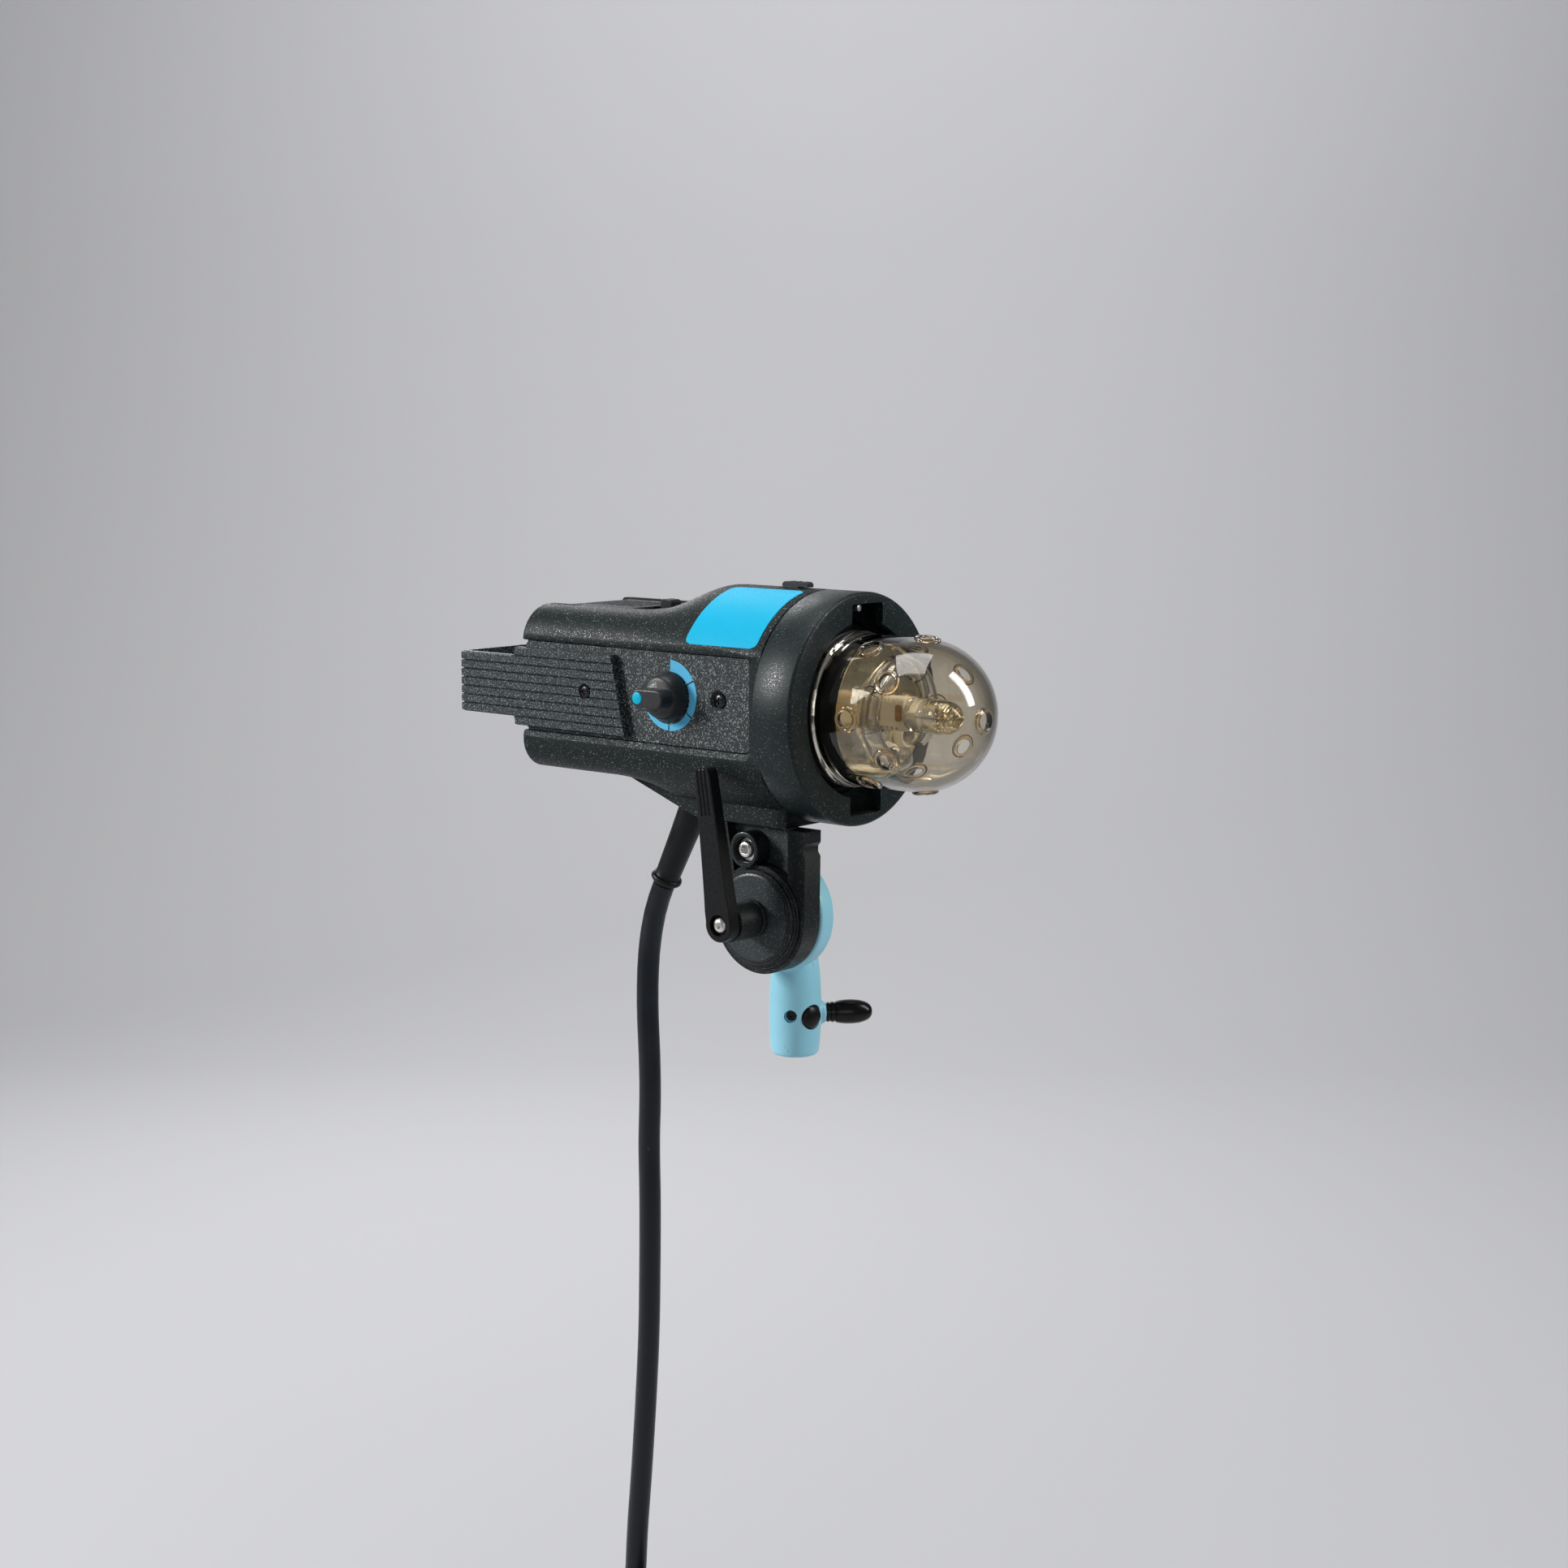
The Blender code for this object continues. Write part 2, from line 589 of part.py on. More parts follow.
def dome_profile(radius):
    """Half the dome's outline for a radius, from the tip to its open rim."""
    cap = [(DOME_CENTRE_X + radius * math.cos(a), radius * math.sin(a)) for a in (math.radians(15 * k) for k in range(7))]
    return [*cap, (46.0, radius)]


def glass_dome():
    outer, inner = dome_profile(DOME_R), dome_profile(DOME_R - 2.2)
    profile = [*outer, (46.0, DOME_R + 1.6), (43.5, DOME_R + 1.6), (43.5, DOME_R - 2.2), *inner[::-1][1:]]
    dome = turned("glass_dome", profile, (0, 0, AXIS_Z), (1, 0, 0), "smoked_glass", 32)
    tools = []
    for k, (at, out) in enumerate(vent_places()):
        start = Vector(at) + Vector(out) * 20
        tools.append(rod(f"dome_vent_form_{k}", start, Vector(at) + Vector(out) * 60, 4.9, None, 8))
    boolean(dome, tools)
    return dome


def dome_clip(name, angle_deg):
    """A spring clip between the lamp base and the dome's rim."""
    clip = box(name, (36.0, -4.0, 37.2), (43.0, 4.0, 42.6), "steel")
    clip.data.transform(Matrix.Translation((0, 0, AXIS_Z * MM)) @ Matrix.Rotation(math.radians(angle_deg), 4, "X"))
    return clip


# ---------------------------------------------------------------- knob


def knob_pieces():
    x, z = KNOB_AT
    at, axis = (x, -PANEL_Y - GAP, z), (0, -1, 0)
    skirt = [(0, 0), (0, 14.0), (1.2, 14.4), (8.8, 12.2), (9.8, 11.2), (10.2, 0)]
    knob = turned("control_knob", skirt, at, axis, "black_plastic", 24)
    right = on_circle(7, 5.3, (x + 6.0, z), -90, 180)
    left = on_circle(7, 5.3, (x - 6.0, z), 90, 180)
    front = -PANEL_Y - 19.5
    bar = prism("bar_form", right + left, "y", front, -PANEL_Y - 6, None)
    boolean(knob, [bar], "UNION")
    dot_at = (x - 7.4, front, z)
    boolean(knob, [rod("dot_form", (dot_at[0], front - 5, z), (dot_at[0], front + 1.2, z), 3.6, None, 14)])
    dot = rod("knob_dot", (dot_at[0], front + 0.9, z), (dot_at[0], front - 0.2, z), 3.3, "accent_blue", 14)
    shaft = rod("knob_shaft", (x, -PANEL_Y, z), (x, -32.0, z), 3.0, "steel")
    return [knob, dot, shaft]


def potentiometer():
    x, z = KNOB_AT
    profile = [(0, 3.3), (0, 12.0), (9.0, 12.0), (9.0, 3.3)]
    return turned("potentiometer", profile, (x, -46.8, z), (0, 1, 0), "steel", 16, ring=True)


# ---------------------------------------------------------------- inside the housing


def fan_pieces():
    centre_z, front = 204.0, -128.0
    outline = [(-36, centre_z - 36), (36, centre_z - 36), (36, centre_z + 36), (-36, centre_z + 36)]
    frame = prism("fan_frame", outline, "x", front - 18, front, "black_plastic")
    bore = rod("fan_bore_form", (front - 15, 0, centre_z), (front + 5, 0, centre_z), 33.0, None, 24)
    windows = []
    for k, (sy, sz) in enumerate(((1, 1), (-1, 1), (-1, -1), (1, -1))):
        y0, y1 = sorted((sy * 4.0, sy * 23.0))
        z0, z1 = sorted((centre_z + sz * 4.0, centre_z + sz * 23.0))
        windows.append(box(f"fan_window_form_{k}", (front - 30, y0, z0), (front - 10, y1, z1), None))
    boolean(frame, [bore, *windows])
    outline = []
    blades, hub_r, tip_r = 7, 12.0, 31.0
    for k in range(blades):
        start = 360.0 * k / blades
        outline += on_circle(4, tip_r, (0, centre_z), start, 22.0)
        outline += on_circle(4, hub_r, (0, centre_z), start + 26.0, 21.0)
    rotor = prism("fan_rotor", outline, "x", front - 12, front - 2, "black_plastic")
    return [frame, rotor]


def inner_pieces():
    board = box("trigger_board", (-112.0, -30.0, 172.0), (-40.0, 24.0, 173.6), "board_green")
    coil = box("trigger_transformer", (-78.0, -14.0, 174.0), (-52.0, 10.0, 192.0), "black_plastic")
    block = box("terminal_block", (-108.0, -16.0, 174.0), (-90.0, 16.0, 186.0), "ceramic")
    return [board, coil, block]


# ---------------------------------------------------------------- cable


def strain_relief():
    (x0, z0), (x1, z1) = STRAIN_RELIEF
    line = Vector((x1 - x0, 0, z1 - z0))
    long = line.length
    profile = [(-12.0, 0), (-12.0, 7.2), (2.0, 7.2), (12.0, 8.6), (long * 0.5, 8.2), (long - 4.0, 7.4),
               (long - 3.4, 9.2), (long - 0.8, 9.4), (long, 8.6), (long, 0)]  # fmt: skip
    return turned("strain_relief", profile, (x0, 0, z0), line, "cable_rubber", 18)


def cable_pieces():
    tube = cable("lamp_cable", [(x, 0.0, z) for x, z in CABLE_ROUTE], "cable_rubber")
    tail = cable("cable_tail", TAIL_ROUTE, "cable_rubber")
    at = (COIL_AT[0], 0, COIL_AT[1])
    bundle = [(v, COIL_RING_R + u) for u, v in on_circle(10, COIL_BUNDLE_R)]
    coil = turned("cable_coil", bundle, at, (0, 1, 0), "cable_rubber", 36, ring=True)
    angle = math.radians(100)
    tie_at = (COIL_AT[0] + COIL_RING_R * math.cos(angle), 0, COIL_AT[1] + COIL_RING_R * math.sin(angle))
    inner, outer = COIL_BUNDLE_R + 0.9, COIL_BUNDLE_R + 2.7
    profile = [(-7.0, inner), (-7.0, outer), (7.0, outer), (7.0, inner)]
    tie = turned("coil_tie", profile, tie_at, (-math.sin(angle), 0, math.cos(angle)), "tie_fabric", 20, ring=True)
    body = [(0, 0), (0, 8.0), (16, 10.5), (18, 14.0), (58, 14.0), (60, 13.2), (60, 11.2), (52, 11.2), (52, 0)]
    plug = turned("lamp_plug", body, PLUG_AT, (0, 0, -1), "black_plastic", 20)
    grip = [(30, 14.3), (30, 15.6), (32, 16.2), (50, 16.2), (52, 15.6), (52, 14.3)]
    lock_ring = turned("plug_ring", grip, PLUG_AT, (0, 0, -1), "steel", 20, ring=True)
    return [tube, tail, coil, tie, plug, lock_ring]


# ---------------------------------------------------------------- tilt bracket and lever


def tilt_arm():
    """The bracket below the drum: a webbed plate with a round pivot disc at its lower end."""
    disc = on_circle(20, DISC_R, (0.0, PIVOT_Z), 180.0 + 8.0, 172.0)
    outline = [(-37.5, 135.6), *disc, (33.0, 135.6)]
    arm = prism("tilt_arm", outline, "y", ARM_Y[0] + 1.0, ARM_Y[1], "bracket_black")
    boss = turned("disc_boss_form", [(0, 0), (0, 26.0), (18.4, 26.0), (18.4, 0)], (0, -20.0, PIVOT_Z), (0, -1, 0), None, 32)
    rim = [(-26.6, 150.0), (-18.2, 108.0), (-13.0, 92.0), (10.0, 92.0), (20.5, 97.0), (20.5, 150.0)]
    pocket = prism("pocket_form", rim, "y", -50.0, -26.0, None)
    boolean(arm, [pocket])
    boolean(arm, [boss], "UNION")
    cup = turned("screw_boss_form", [(0, 0), (0, 10.2), (13.0, 10.2), (13.0, 0)], (-8.0, -24.0, 122.0), (0, -1, 0), None, 16)
    boolean(arm, [cup], "UNION")
    seat = [(0, 0), (0, 7.2), (31.3, 7.2), (31.3, 3.4), (38.0, 3.4), (38.0, 0)]
    tools = [
        turned("screw_seat_form", seat, (-8.0, -60.0, 122.0), (0, 1, 0), None, 14),
        rod("bolt_bore_form", (0, -80, PIVOT_Z), (0, 0, PIVOT_Z), BOLT_R + GAP, None, 16),
    ]
    boolean(arm, tools)
    return arm


def socket_screw():
    """The silver screw in the bracket's boss, with a hexagon socket."""
    profile = [(0, 0), (0, 3.0), (5.2, 3.0), (5.2, 6.6), (6.4, 6.6), (6.4, 4.6), (10.2, 4.6), (10.2, 0)]
    screw = turned("bracket_screw", profile, (-8.0, -23.8, 122.0), (0, -1, 0), "screw_silver", 18)
    boolean(screw, [prism("hex_form", on_circle(6, 2.9, (-8.0, 122.0)), "y", -50, -31.4, None)])
    return screw


def lever_outline():
    """The clamp lever's side view: round at the pivot and narrowing to its grip end, leaning back."""
    lean = math.radians(8.4)
    along, across = Vector((-math.sin(lean), math.cos(lean))), Vector((math.cos(lean), math.sin(lean)))
    outline = [Vector((math.cos(a), math.sin(a))) * 9.4 for a in (math.radians(172.4 + 180 * k / 8) for k in range(9))]
    for up, half in ((20, 8.4), (55, 6.6), (84, 5.3)):
        outline.append(along * up + across * half)
    outline += [along * 87.0 + across * 3.6, along * 87.0 - across * 3.6]
    for up, half in ((84, 5.3), (55, 6.6), (20, 8.4)):
        outline.append(along * up - across * half)
    return [(p.x, PIVOT_Z + p.y) for p in outline]


def lever_pieces():
    lever = prism("clamp_lever", lever_outline(), "y", LEVER_Y[0], LEVER_Y[1], "black_plastic")
    tools = [
        rod("lever_seat_form", (0, LEVER_Y[0] - 5, PIVOT_Z), (0, LEVER_Y[0] + 4, PIVOT_Z), 6.2, None, 24),
        rod("lever_bore_form", (0, LEVER_Y[0] - 5, PIVOT_Z), (0, LEVER_Y[1] + 5, PIVOT_Z), 3.3, None),
    ]
    boolean(lever, tools)
    inner, outer = -38.7, LEVER_Y[1] + GAP
    profile = [(0, BOLT_R + GAP), (0, 11.0), (1.5, 10.6), (inner - outer, 10.6), (inner - outer, 3.3),
               (inner - outer - 5.0, 3.3), (inner - outer - 5.0, BOLT_R + GAP)]  # fmt: skip
    hub = turned("lever_hub", profile, (0, inner, PIVOT_Z), (0, -1, 0), "bracket_black", 20, ring=True)
    head = [(0, 0), (0, 3.0), (9.2, 3.0), (9.2, 4.6), (10.6, 4.4), (11.8, 3.0), (12.0, 0)]
    screw = turned("lever_screw", head, (0, LEVER_Y[0] + 12.9, PIVOT_Z), (0, -1, 0), "screw_silver", 20)
    boolean(screw, [prism("lever_hex_form", on_circle(6, 1.9, (0.0, PIVOT_Z)), "y", -80, LEVER_Y[0] + 2.6, None)])
    return [lever, hub, screw]


def pivot_bolt():
    profile = [(0, 0), (0, 8.2), (5.0, 8.2), (5.0, BOLT_R), (63.0, BOLT_R), (63.0, 0)]
    return turned("pivot_bolt", profile, (0, 9.0, PIVOT_Z), (0, -1, 0), "steel", 16)


def friction_washer():
    profile = [(0, BOLT_R + GAP), (0, 28.0), (0.7, 28.0), (0.7, BOLT_R + GAP)]
    return turned("friction_washer", profile, (0, -18.3, PIVOT_Z), (0, -1, 0), "brass", 24, ring=True)


# ---------------------------------------------------------------- stand receiver


def around(angle_deg, radius, z):
    """A point at an angle about the socket's axis."""
    angle = math.radians(angle_deg)
    return (radius * math.cos(angle), radius * math.sin(angle), z)


SET_SCREW = (-62.0, 24.5)  # angle about the socket and height
BUTTON = (-8.0, 23.5)
HANDLE = (46.5, 23.5)


def stand_receiver():
    """The blue casting: a socket for the stand's spigot below a pivot disc."""
    barrel = [(0, SOCKET_R), (0, RECEIVER_R - 2.0), (0.8, RECEIVER_R - 0.8), (2.6, RECEIVER_R), (30.0, RECEIVER_R),
              (50.0, RECEIVER_R - 0.8), (68.0, RECEIVER_R - 2.0), (68.0, 0), (SOCKET_DEPTH, 0),
              (SOCKET_DEPTH, SOCKET_R)]  # fmt: skip
    body = turned("stand_receiver", barrel, (0, 0, 0), (0, 0, 1), "receiver_blue", 32, ring=True)
    disc = [(0, 0), (0, 13.5), (2, 15.0), (12, 20.0), (17.5, 22.0), (17.5, 32.0), (18.5, 33.0), (29, 33.0), (30, 32.0),
            (30, 0)]  # fmt: skip
    forms = [
        rod("handle_boss_form", around(HANDLE[0], 9.5, HANDLE[1]), around(HANDLE[0], 17.5, HANDLE[1]), 6.2, None, 16),
        turned("disc_form", disc, (0, 12.0, PIVOT_Z), (0, -1, 0), None, 32),
    ]
    boolean(body, forms, "UNION")
    bolt_hole = [(-40, 0), (-40, 8.5), (-3.7, 8.5), (-3.7, BOLT_R + GAP), (40, BOLT_R + GAP), (40, 0)]
    button_hole = [(-5.0, 0), (-5.0, 3.4), (0, 3.4), (0, 7.2), (20.0, 7.2), (20.0, 0)]
    tools = [
        rod("set_screw_form", around(SET_SCREW[0], 5, SET_SCREW[1]), around(SET_SCREW[0], 30, SET_SCREW[1]), 3.3, None, 12),
        turned("button_form", button_hole, around(BUTTON[0], 9.2, BUTTON[1]), around(BUTTON[0], 1, 0), None, 16),
        rod("clamp_form", around(HANDLE[0], 4, HANDLE[1]), around(HANDLE[0], 30, HANDLE[1]), 4.0, None, 12),
        turned("bolt_form", bolt_hole, (0, 0, PIVOT_Z), (0, -1, 0), None, 20),
    ]
    boolean(body, tools)
    return body


def set_screw():
    profile = [(0, 0), (0, 3.0), (4.2, 3.0), (4.2, 0)]
    at = around(SET_SCREW[0], 8.6, SET_SCREW[1])
    screw = turned("receiver_set_screw", profile, at, around(SET_SCREW[0], 1, 0), "screw_silver", 20)
    hexagon = rod("set_hex_form", around(SET_SCREW[0], 11.4, SET_SCREW[1]), around(SET_SCREW[0], 20, SET_SCREW[1]), 1.5,
                  None, 6)  # fmt: skip
    boolean(screw, [hexagon])
    return screw


def safety_button():
    profile = [(0, 0), (0, 3.1), (3.0, 3.1), (3.0, 6.9), (5.9, 6.9), (7.2, 6.0), (7.8, 3.4), (8.0, 0)]
    at = around(BUTTON[0], 8.3, BUTTON[1])
    return turned("safety_button", profile, at, around(BUTTON[0], 1, 0), "black_plastic", 16)


def button_spring():
    """The button's return spring, as the sleeve that its coils fill."""
    profile = [(0, 3.9), (0, 6.2), (1.5, 6.2), (1.5, 3.9)]
    at = around(BUTTON[0], 9.5, BUTTON[1])
    return turned("button_spring", profile, at, around(BUTTON[0], 1, 0), "steel", 20, ring=True)


def clamp_handle_pieces():
    out = around(HANDLE[0], 1, 0)
    at = around(HANDLE[0], 17.8, HANDLE[1])
    grip = [(0, 3.4), (0, 5.3), (1.6, 5.7), (1.8, 5.2), (2.6, 5.2), (2.8, 5.8), (4.4, 5.9), (4.6, 5.4), (5.4, 5.4),
            (5.6, 6.1), (10, 6.8), (16, 6.9), (21, 6.1), (24.5, 4.6), (26.2, 2.6), (26.6, 0), (15, 0), (15, 3.4)]  # fmt: skip
    handle = turned("clamp_handle", grip, at, out, "black_plastic", 16, ring=True)
    screw_at = around(HANDLE[0], 8.9, HANDLE[1])
    screw = turned("clamp_screw", [(0, 0), (0, 3.0), (23.5, 3.0), (23.5, 0)], screw_at, out, "steel", 12)
    return [handle, screw]


# ---------------------------------------------------------------- assembly


def joint_empty(name, at, parent=None):
    """An empty on a joint's axis; what moves about the joint is parented to it."""
    made = bpy.data.objects.new(name, None)
    bpy.context.scene.collection.objects.link(made)
    made.location = Vector(at) * MM
    if parent is not None:
        made.parent = parent
        made.matrix_parent_inverse = Matrix.Translation(-parent_place(parent))
    return made


def parent_place(empty):
    """Where an empty stands in the world, following its parents."""
    bpy.context.view_layer.update()
    return empty.matrix_world.translation.copy()


def carry(empty, pieces):
    inverse = Matrix.Translation(-parent_place(empty))
    for moved in pieces:
        moved.parent = empty
        moved.matrix_parent_inverse = inverse


def build_head():
    pieces = [
        housing_body(),
        rear_cover(),
        side_panel("side_panel_near", -1),
        side_panel("side_panel_far", 1),
        handle_strap(),
        *roof_pieces(),
        front_collar(),
        heat_shield(),
        lamp_base(),
        reflector_plate(),
        flash_tube(),
        trigger_wire(),
        modelling_lamp(),
        lamp_socket(),
        glass_dome(),
        potentiometer(),
        *inner_pieces(),
        strain_relief(),
        tilt_arm(),
        socket_screw(),
    ]
    for name, (y, z) in zip(("tube_socket_a", "tube_socket_b"), leg_places()):
        pieces.append(tube_socket(name, y, z))
    for k, angle in enumerate((45, 165, 285)):
        pieces.append(dome_clip(f"dome_clip_{k + 1}", angle))
    for word, side in (("near", -1), ("far", 1)):
        pieces.append(domed_screw(f"panel_screw_{word}", SCREW_X, side * (PANEL_Y - 2.0 - GAP), TRIM_Z + 1.5, side, 4.2))
        pieces.append(domed_screw(f"strap_screw_{word}", -110.5, side * (STRAP_Y - 1.6), TRIM_Z, side, 3.9))
    return pieces


def build():
    clear_scene()
    stand_receiver()
    set_screw()
    button_spring()
    pivot_bolt()
    friction_washer()
    *cable_set, lock_ring = cable_pieces()
    carry(joint_empty("plug_ring_axis", PLUG_AT), [lock_ring])
    carry(joint_empty("clamp_handle_axis", around(HANDLE[0], 17.8, HANDLE[1])), clamp_handle_pieces())
    carry(joint_empty("safety_button_axis", around(BUTTON[0], 9.2, BUTTON[1])), [safety_button()])

    tilt = joint_empty("head_tilt_axis", (0, 0, PIVOT_Z))
    frame, rotor = fan_pieces()
    carry(tilt, [*build_head(), frame])
    moving = {
        "lever_axis": ((0, 0, PIVOT_Z), lever_pieces()),
        "knob_axis": ((KNOB_AT[0], -PANEL_Y, KNOB_AT[1]), knob_pieces()),
        "latch_axis": ((0, 0, 269.0), [release_latch(), lock_pin()]),
        "switch_axis": ((-95.5, 0, ROOF_Z), [top_switch()]),
        "fan_axis": ((-136.0, 0, 204.0), [rotor]),
    }
    for name, (at, pieces) in moving.items():
        carry(joint_empty(name, at, tilt), pieces)


build()
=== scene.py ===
"""Looks of the studio flash head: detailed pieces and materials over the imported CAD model.

Sizes are in millimetres in the CAD's frame, turned into metres where a mesh is made.
"""

import json
import math

import bmesh
import bpy
from mathutils import Matrix, Vector

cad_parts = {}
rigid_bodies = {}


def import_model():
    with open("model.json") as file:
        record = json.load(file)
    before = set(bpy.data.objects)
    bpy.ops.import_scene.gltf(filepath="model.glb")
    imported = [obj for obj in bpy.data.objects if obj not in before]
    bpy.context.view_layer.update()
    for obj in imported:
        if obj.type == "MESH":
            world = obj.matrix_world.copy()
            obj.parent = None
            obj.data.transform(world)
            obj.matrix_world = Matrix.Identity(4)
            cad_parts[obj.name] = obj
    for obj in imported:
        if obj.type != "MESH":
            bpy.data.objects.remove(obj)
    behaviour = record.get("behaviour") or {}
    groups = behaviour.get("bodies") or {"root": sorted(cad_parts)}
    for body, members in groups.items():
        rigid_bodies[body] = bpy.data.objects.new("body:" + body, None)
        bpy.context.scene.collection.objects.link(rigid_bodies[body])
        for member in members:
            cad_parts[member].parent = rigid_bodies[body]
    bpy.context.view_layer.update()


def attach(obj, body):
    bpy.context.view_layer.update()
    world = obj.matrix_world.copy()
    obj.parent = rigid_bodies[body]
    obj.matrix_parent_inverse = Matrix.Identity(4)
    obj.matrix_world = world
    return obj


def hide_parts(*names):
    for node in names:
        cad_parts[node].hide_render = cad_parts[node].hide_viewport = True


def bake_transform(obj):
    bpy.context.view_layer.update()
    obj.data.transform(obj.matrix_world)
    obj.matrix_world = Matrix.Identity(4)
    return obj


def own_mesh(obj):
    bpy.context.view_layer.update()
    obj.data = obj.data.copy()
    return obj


MM = 0.001
GAP = 0.3

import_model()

# Dimensions shared with the CAD
AXIS_Z = 202.0
PIVOT_Z = 84.5
DRUM_R = 65.0
SEAM_X = 20.0
FACE_X = 47.0
MOUTH_R = 48.7
PIN_R = 56.0
FLANK_Y = 56.0
REAR_X = -163.0
ROOF_Z = 252.0
FLOOR_Z = 156.0
WALL = 3.5
PANEL_Y = 52.5
PANEL_Z = (178.5, 231.5)
PANEL_FRONT_X = 10.0
TRIM_Z = 205.0
STRAP_REAR_X = -216.0
STRAP_Y = 57.5
KNOB_AT = (-49.5, 206.5)
SCREW_X = -13.5
DOME_R = 42.0
DOME_CENTRE_X = 86.0
PLATE_X = 55.5
LAMP_X = 72.0
ARM_Y = (-34.0, -19.3)
DISC_R = 32.5
BOLT_R = 5.0
RECEIVER_R = 14.3
SOCKET_R = 8.05
SOCKET_DEPTH = 45.0
LEVER_Y = (-68.0, -59.8)
CABLE_R = 6.6
COIL_RING_R = 68.0
COIL_BUNDLE_R = 20.0
COIL_AT = (-82.1, -441.9)
PLUG_AT = (-157.0, -36.0, -461.0)
STRAIN_RELIEF = ((-73.2, 142.0), (-100.0, 88.0))
SET_SCREW = (-62.0, 24.5)
BUTTON = (-8.0, 23.5)
HANDLE = (46.5, 23.5)
FLOOR_LEVEL = -531.0

# ---------------------------------------------------------------- shape builders


def on_circle(count, radius, centre=(0.0, 0.0), start_deg=0.0, sweep_deg=360.0):
    """Points round a circle or, for a smaller sweep, along an arc with both its ends."""
    steps = count if sweep_deg == 360.0 else count - 1
    angles = [math.radians(start_deg + sweep_deg * i / steps) for i in range(count)]
    return [(centre[0] + radius * math.cos(a), centre[1] + radius * math.sin(a)) for a in angles]


def solid(name, points, faces, finish=None, smooth_deg=35.0):
    """A mesh object from points in millimetres. A finish of None makes a hidden cutter."""
    mesh = bpy.data.meshes.new(name)
    mesh.from_pydata([Vector(p) * MM for p in points], [], faces)
    shape = bmesh.new()
    shape.from_mesh(mesh)
    bmesh.ops.recalc_face_normals(shape, faces=shape.faces)
    shape.to_mesh(mesh)
    shape.free()
    made = bpy.data.objects.new(name, mesh)
    bpy.context.scene.collection.objects.link(made)
    if finish is None:
        made.hide_render = True
        made.display_type = "WIRE"
    else:
        mesh.materials.append(finish)
        mesh.shade_smooth()
        mesh.set_sharp_from_angle(angle=math.radians(smooth_deg))
    return made


def prism(name, outline, along, low, high, finish=None):
    """An outline extruded along X, Y or Z. The outline's two coordinates are the other axes, in order."""
    place = {
        "x": lambda u, v, w: (w, u, v),
        "y": lambda u, v, w: (u, w, v),
        "z": lambda u, v, w: (u, v, w),
    }[along]
    points = [place(u, v, w) for w in (low, high) for u, v in outline]
    n = len(outline)
    sides = [(i, (i + 1) % n, n + (i + 1) % n, n + i) for i in range(n)]
    ends = [tuple(range(n - 1, -1, -1)), tuple(range(n, 2 * n))]
    return solid(name, points, sides + ends, finish)


def box(name, low, high, finish=None):
    (x0, y0, z0), (x1, y1, z1) = low, high
    return prism(name, [(x0, y0), (x1, y0), (x1, y1), (x0, y1)], "z", z0, z1, finish)


def rounded_box(low, high, radius, count=5):
    """The outline of a rectangle with round corners."""
    (u0, v0), (u1, v1) = low, high
    corners = (
        ((u1 - radius, v1 - radius), 0),
        ((u0 + radius, v1 - radius), 90),
        ((u0 + radius, v0 + radius), 180),
        ((u1 - radius, v0 + radius), 270),
    )
    return [p for centre, start in corners for p in on_circle(count, radius, centre, start, 90)]


def turned(name, profile, at, axis, finish=None, sides=64, ring=False, smooth_deg=35.0):
    """A profile of (distance along the axis, radius) turned about the axis through the point at."""
    turn = Vector((0, 0, 1)).rotation_difference(Vector(axis)).to_matrix()
    points, rings = [], []
    for along, radius in profile:
        if radius < 1e-6:
            rings.append([len(points)])
            points.append(turn @ Vector((0, 0, along)) + Vector(at))
        else:
            rings.append(list(range(len(points), len(points) + sides)))
            points += [turn @ Vector((x, y, along)) + Vector(at) for x, y in on_circle(sides, radius)]
    faces = []
    pairs = list(zip(rings, rings[1:])) + ([(rings[-1], rings[0])] if ring else [])
    for a, b in pairs:
        for i in range(sides):
            j = (i + 1) % sides
            face = list(dict.fromkeys([a[i % len(a)], a[j % len(a)], b[j % len(b)], b[i % len(b)]]))
            if len(face) > 2:
                faces.append(face)
    return solid(name, points, faces, finish, smooth_deg)


def on_axis(name, profile, finish, sides, ring=True, smooth_deg=35.0):
    """A profile turned about the head's optical axis, with its distances along X."""
    return turned(name, profile, (0, 0, AXIS_Z), (1, 0, 0), finish, sides, ring, smooth_deg)


def rod(name, start, end, radius, finish=None, sides=32, edge=0.0):
    """A round bar between two points, with its end edges rounded off."""
    line = Vector(end) - Vector(start)
    long = line.length
    if edge:
        profile = [(0, 0), (0, radius - edge), (edge * 0.3, radius - edge * 0.3), (edge, radius),
                   (long - edge, radius), (long - edge * 0.3, radius - edge * 0.3), (long, radius - edge),
                   (long, 0)]
    else:
        profile = [(0, 0), (0, radius), (long, radius), (long, 0)]
    return turned(name, profile, start, line, finish, sides)


def loft(name, sections, finish=None, smooth_deg=35.0, closed=False):
    """Rings with the same number of points, joined in order and capped, or joined end to end if closed."""
    n = len(sections[0])
    points = [p for section in sections for p in section]
    faces = []
    count = len(sections)
    for k in range(count if closed else count - 1):
        a, b = k * n, ((k + 1) % count) * n
        faces += [(a + i, a + (i + 1) % n, b + (i + 1) % n, b + i) for i in range(n)]
    if not closed:
        last = (count - 1) * n
        faces += [tuple(range(n - 1, -1, -1)), tuple(range(last, last + n))]
    return solid(name, points, faces, finish, smooth_deg)


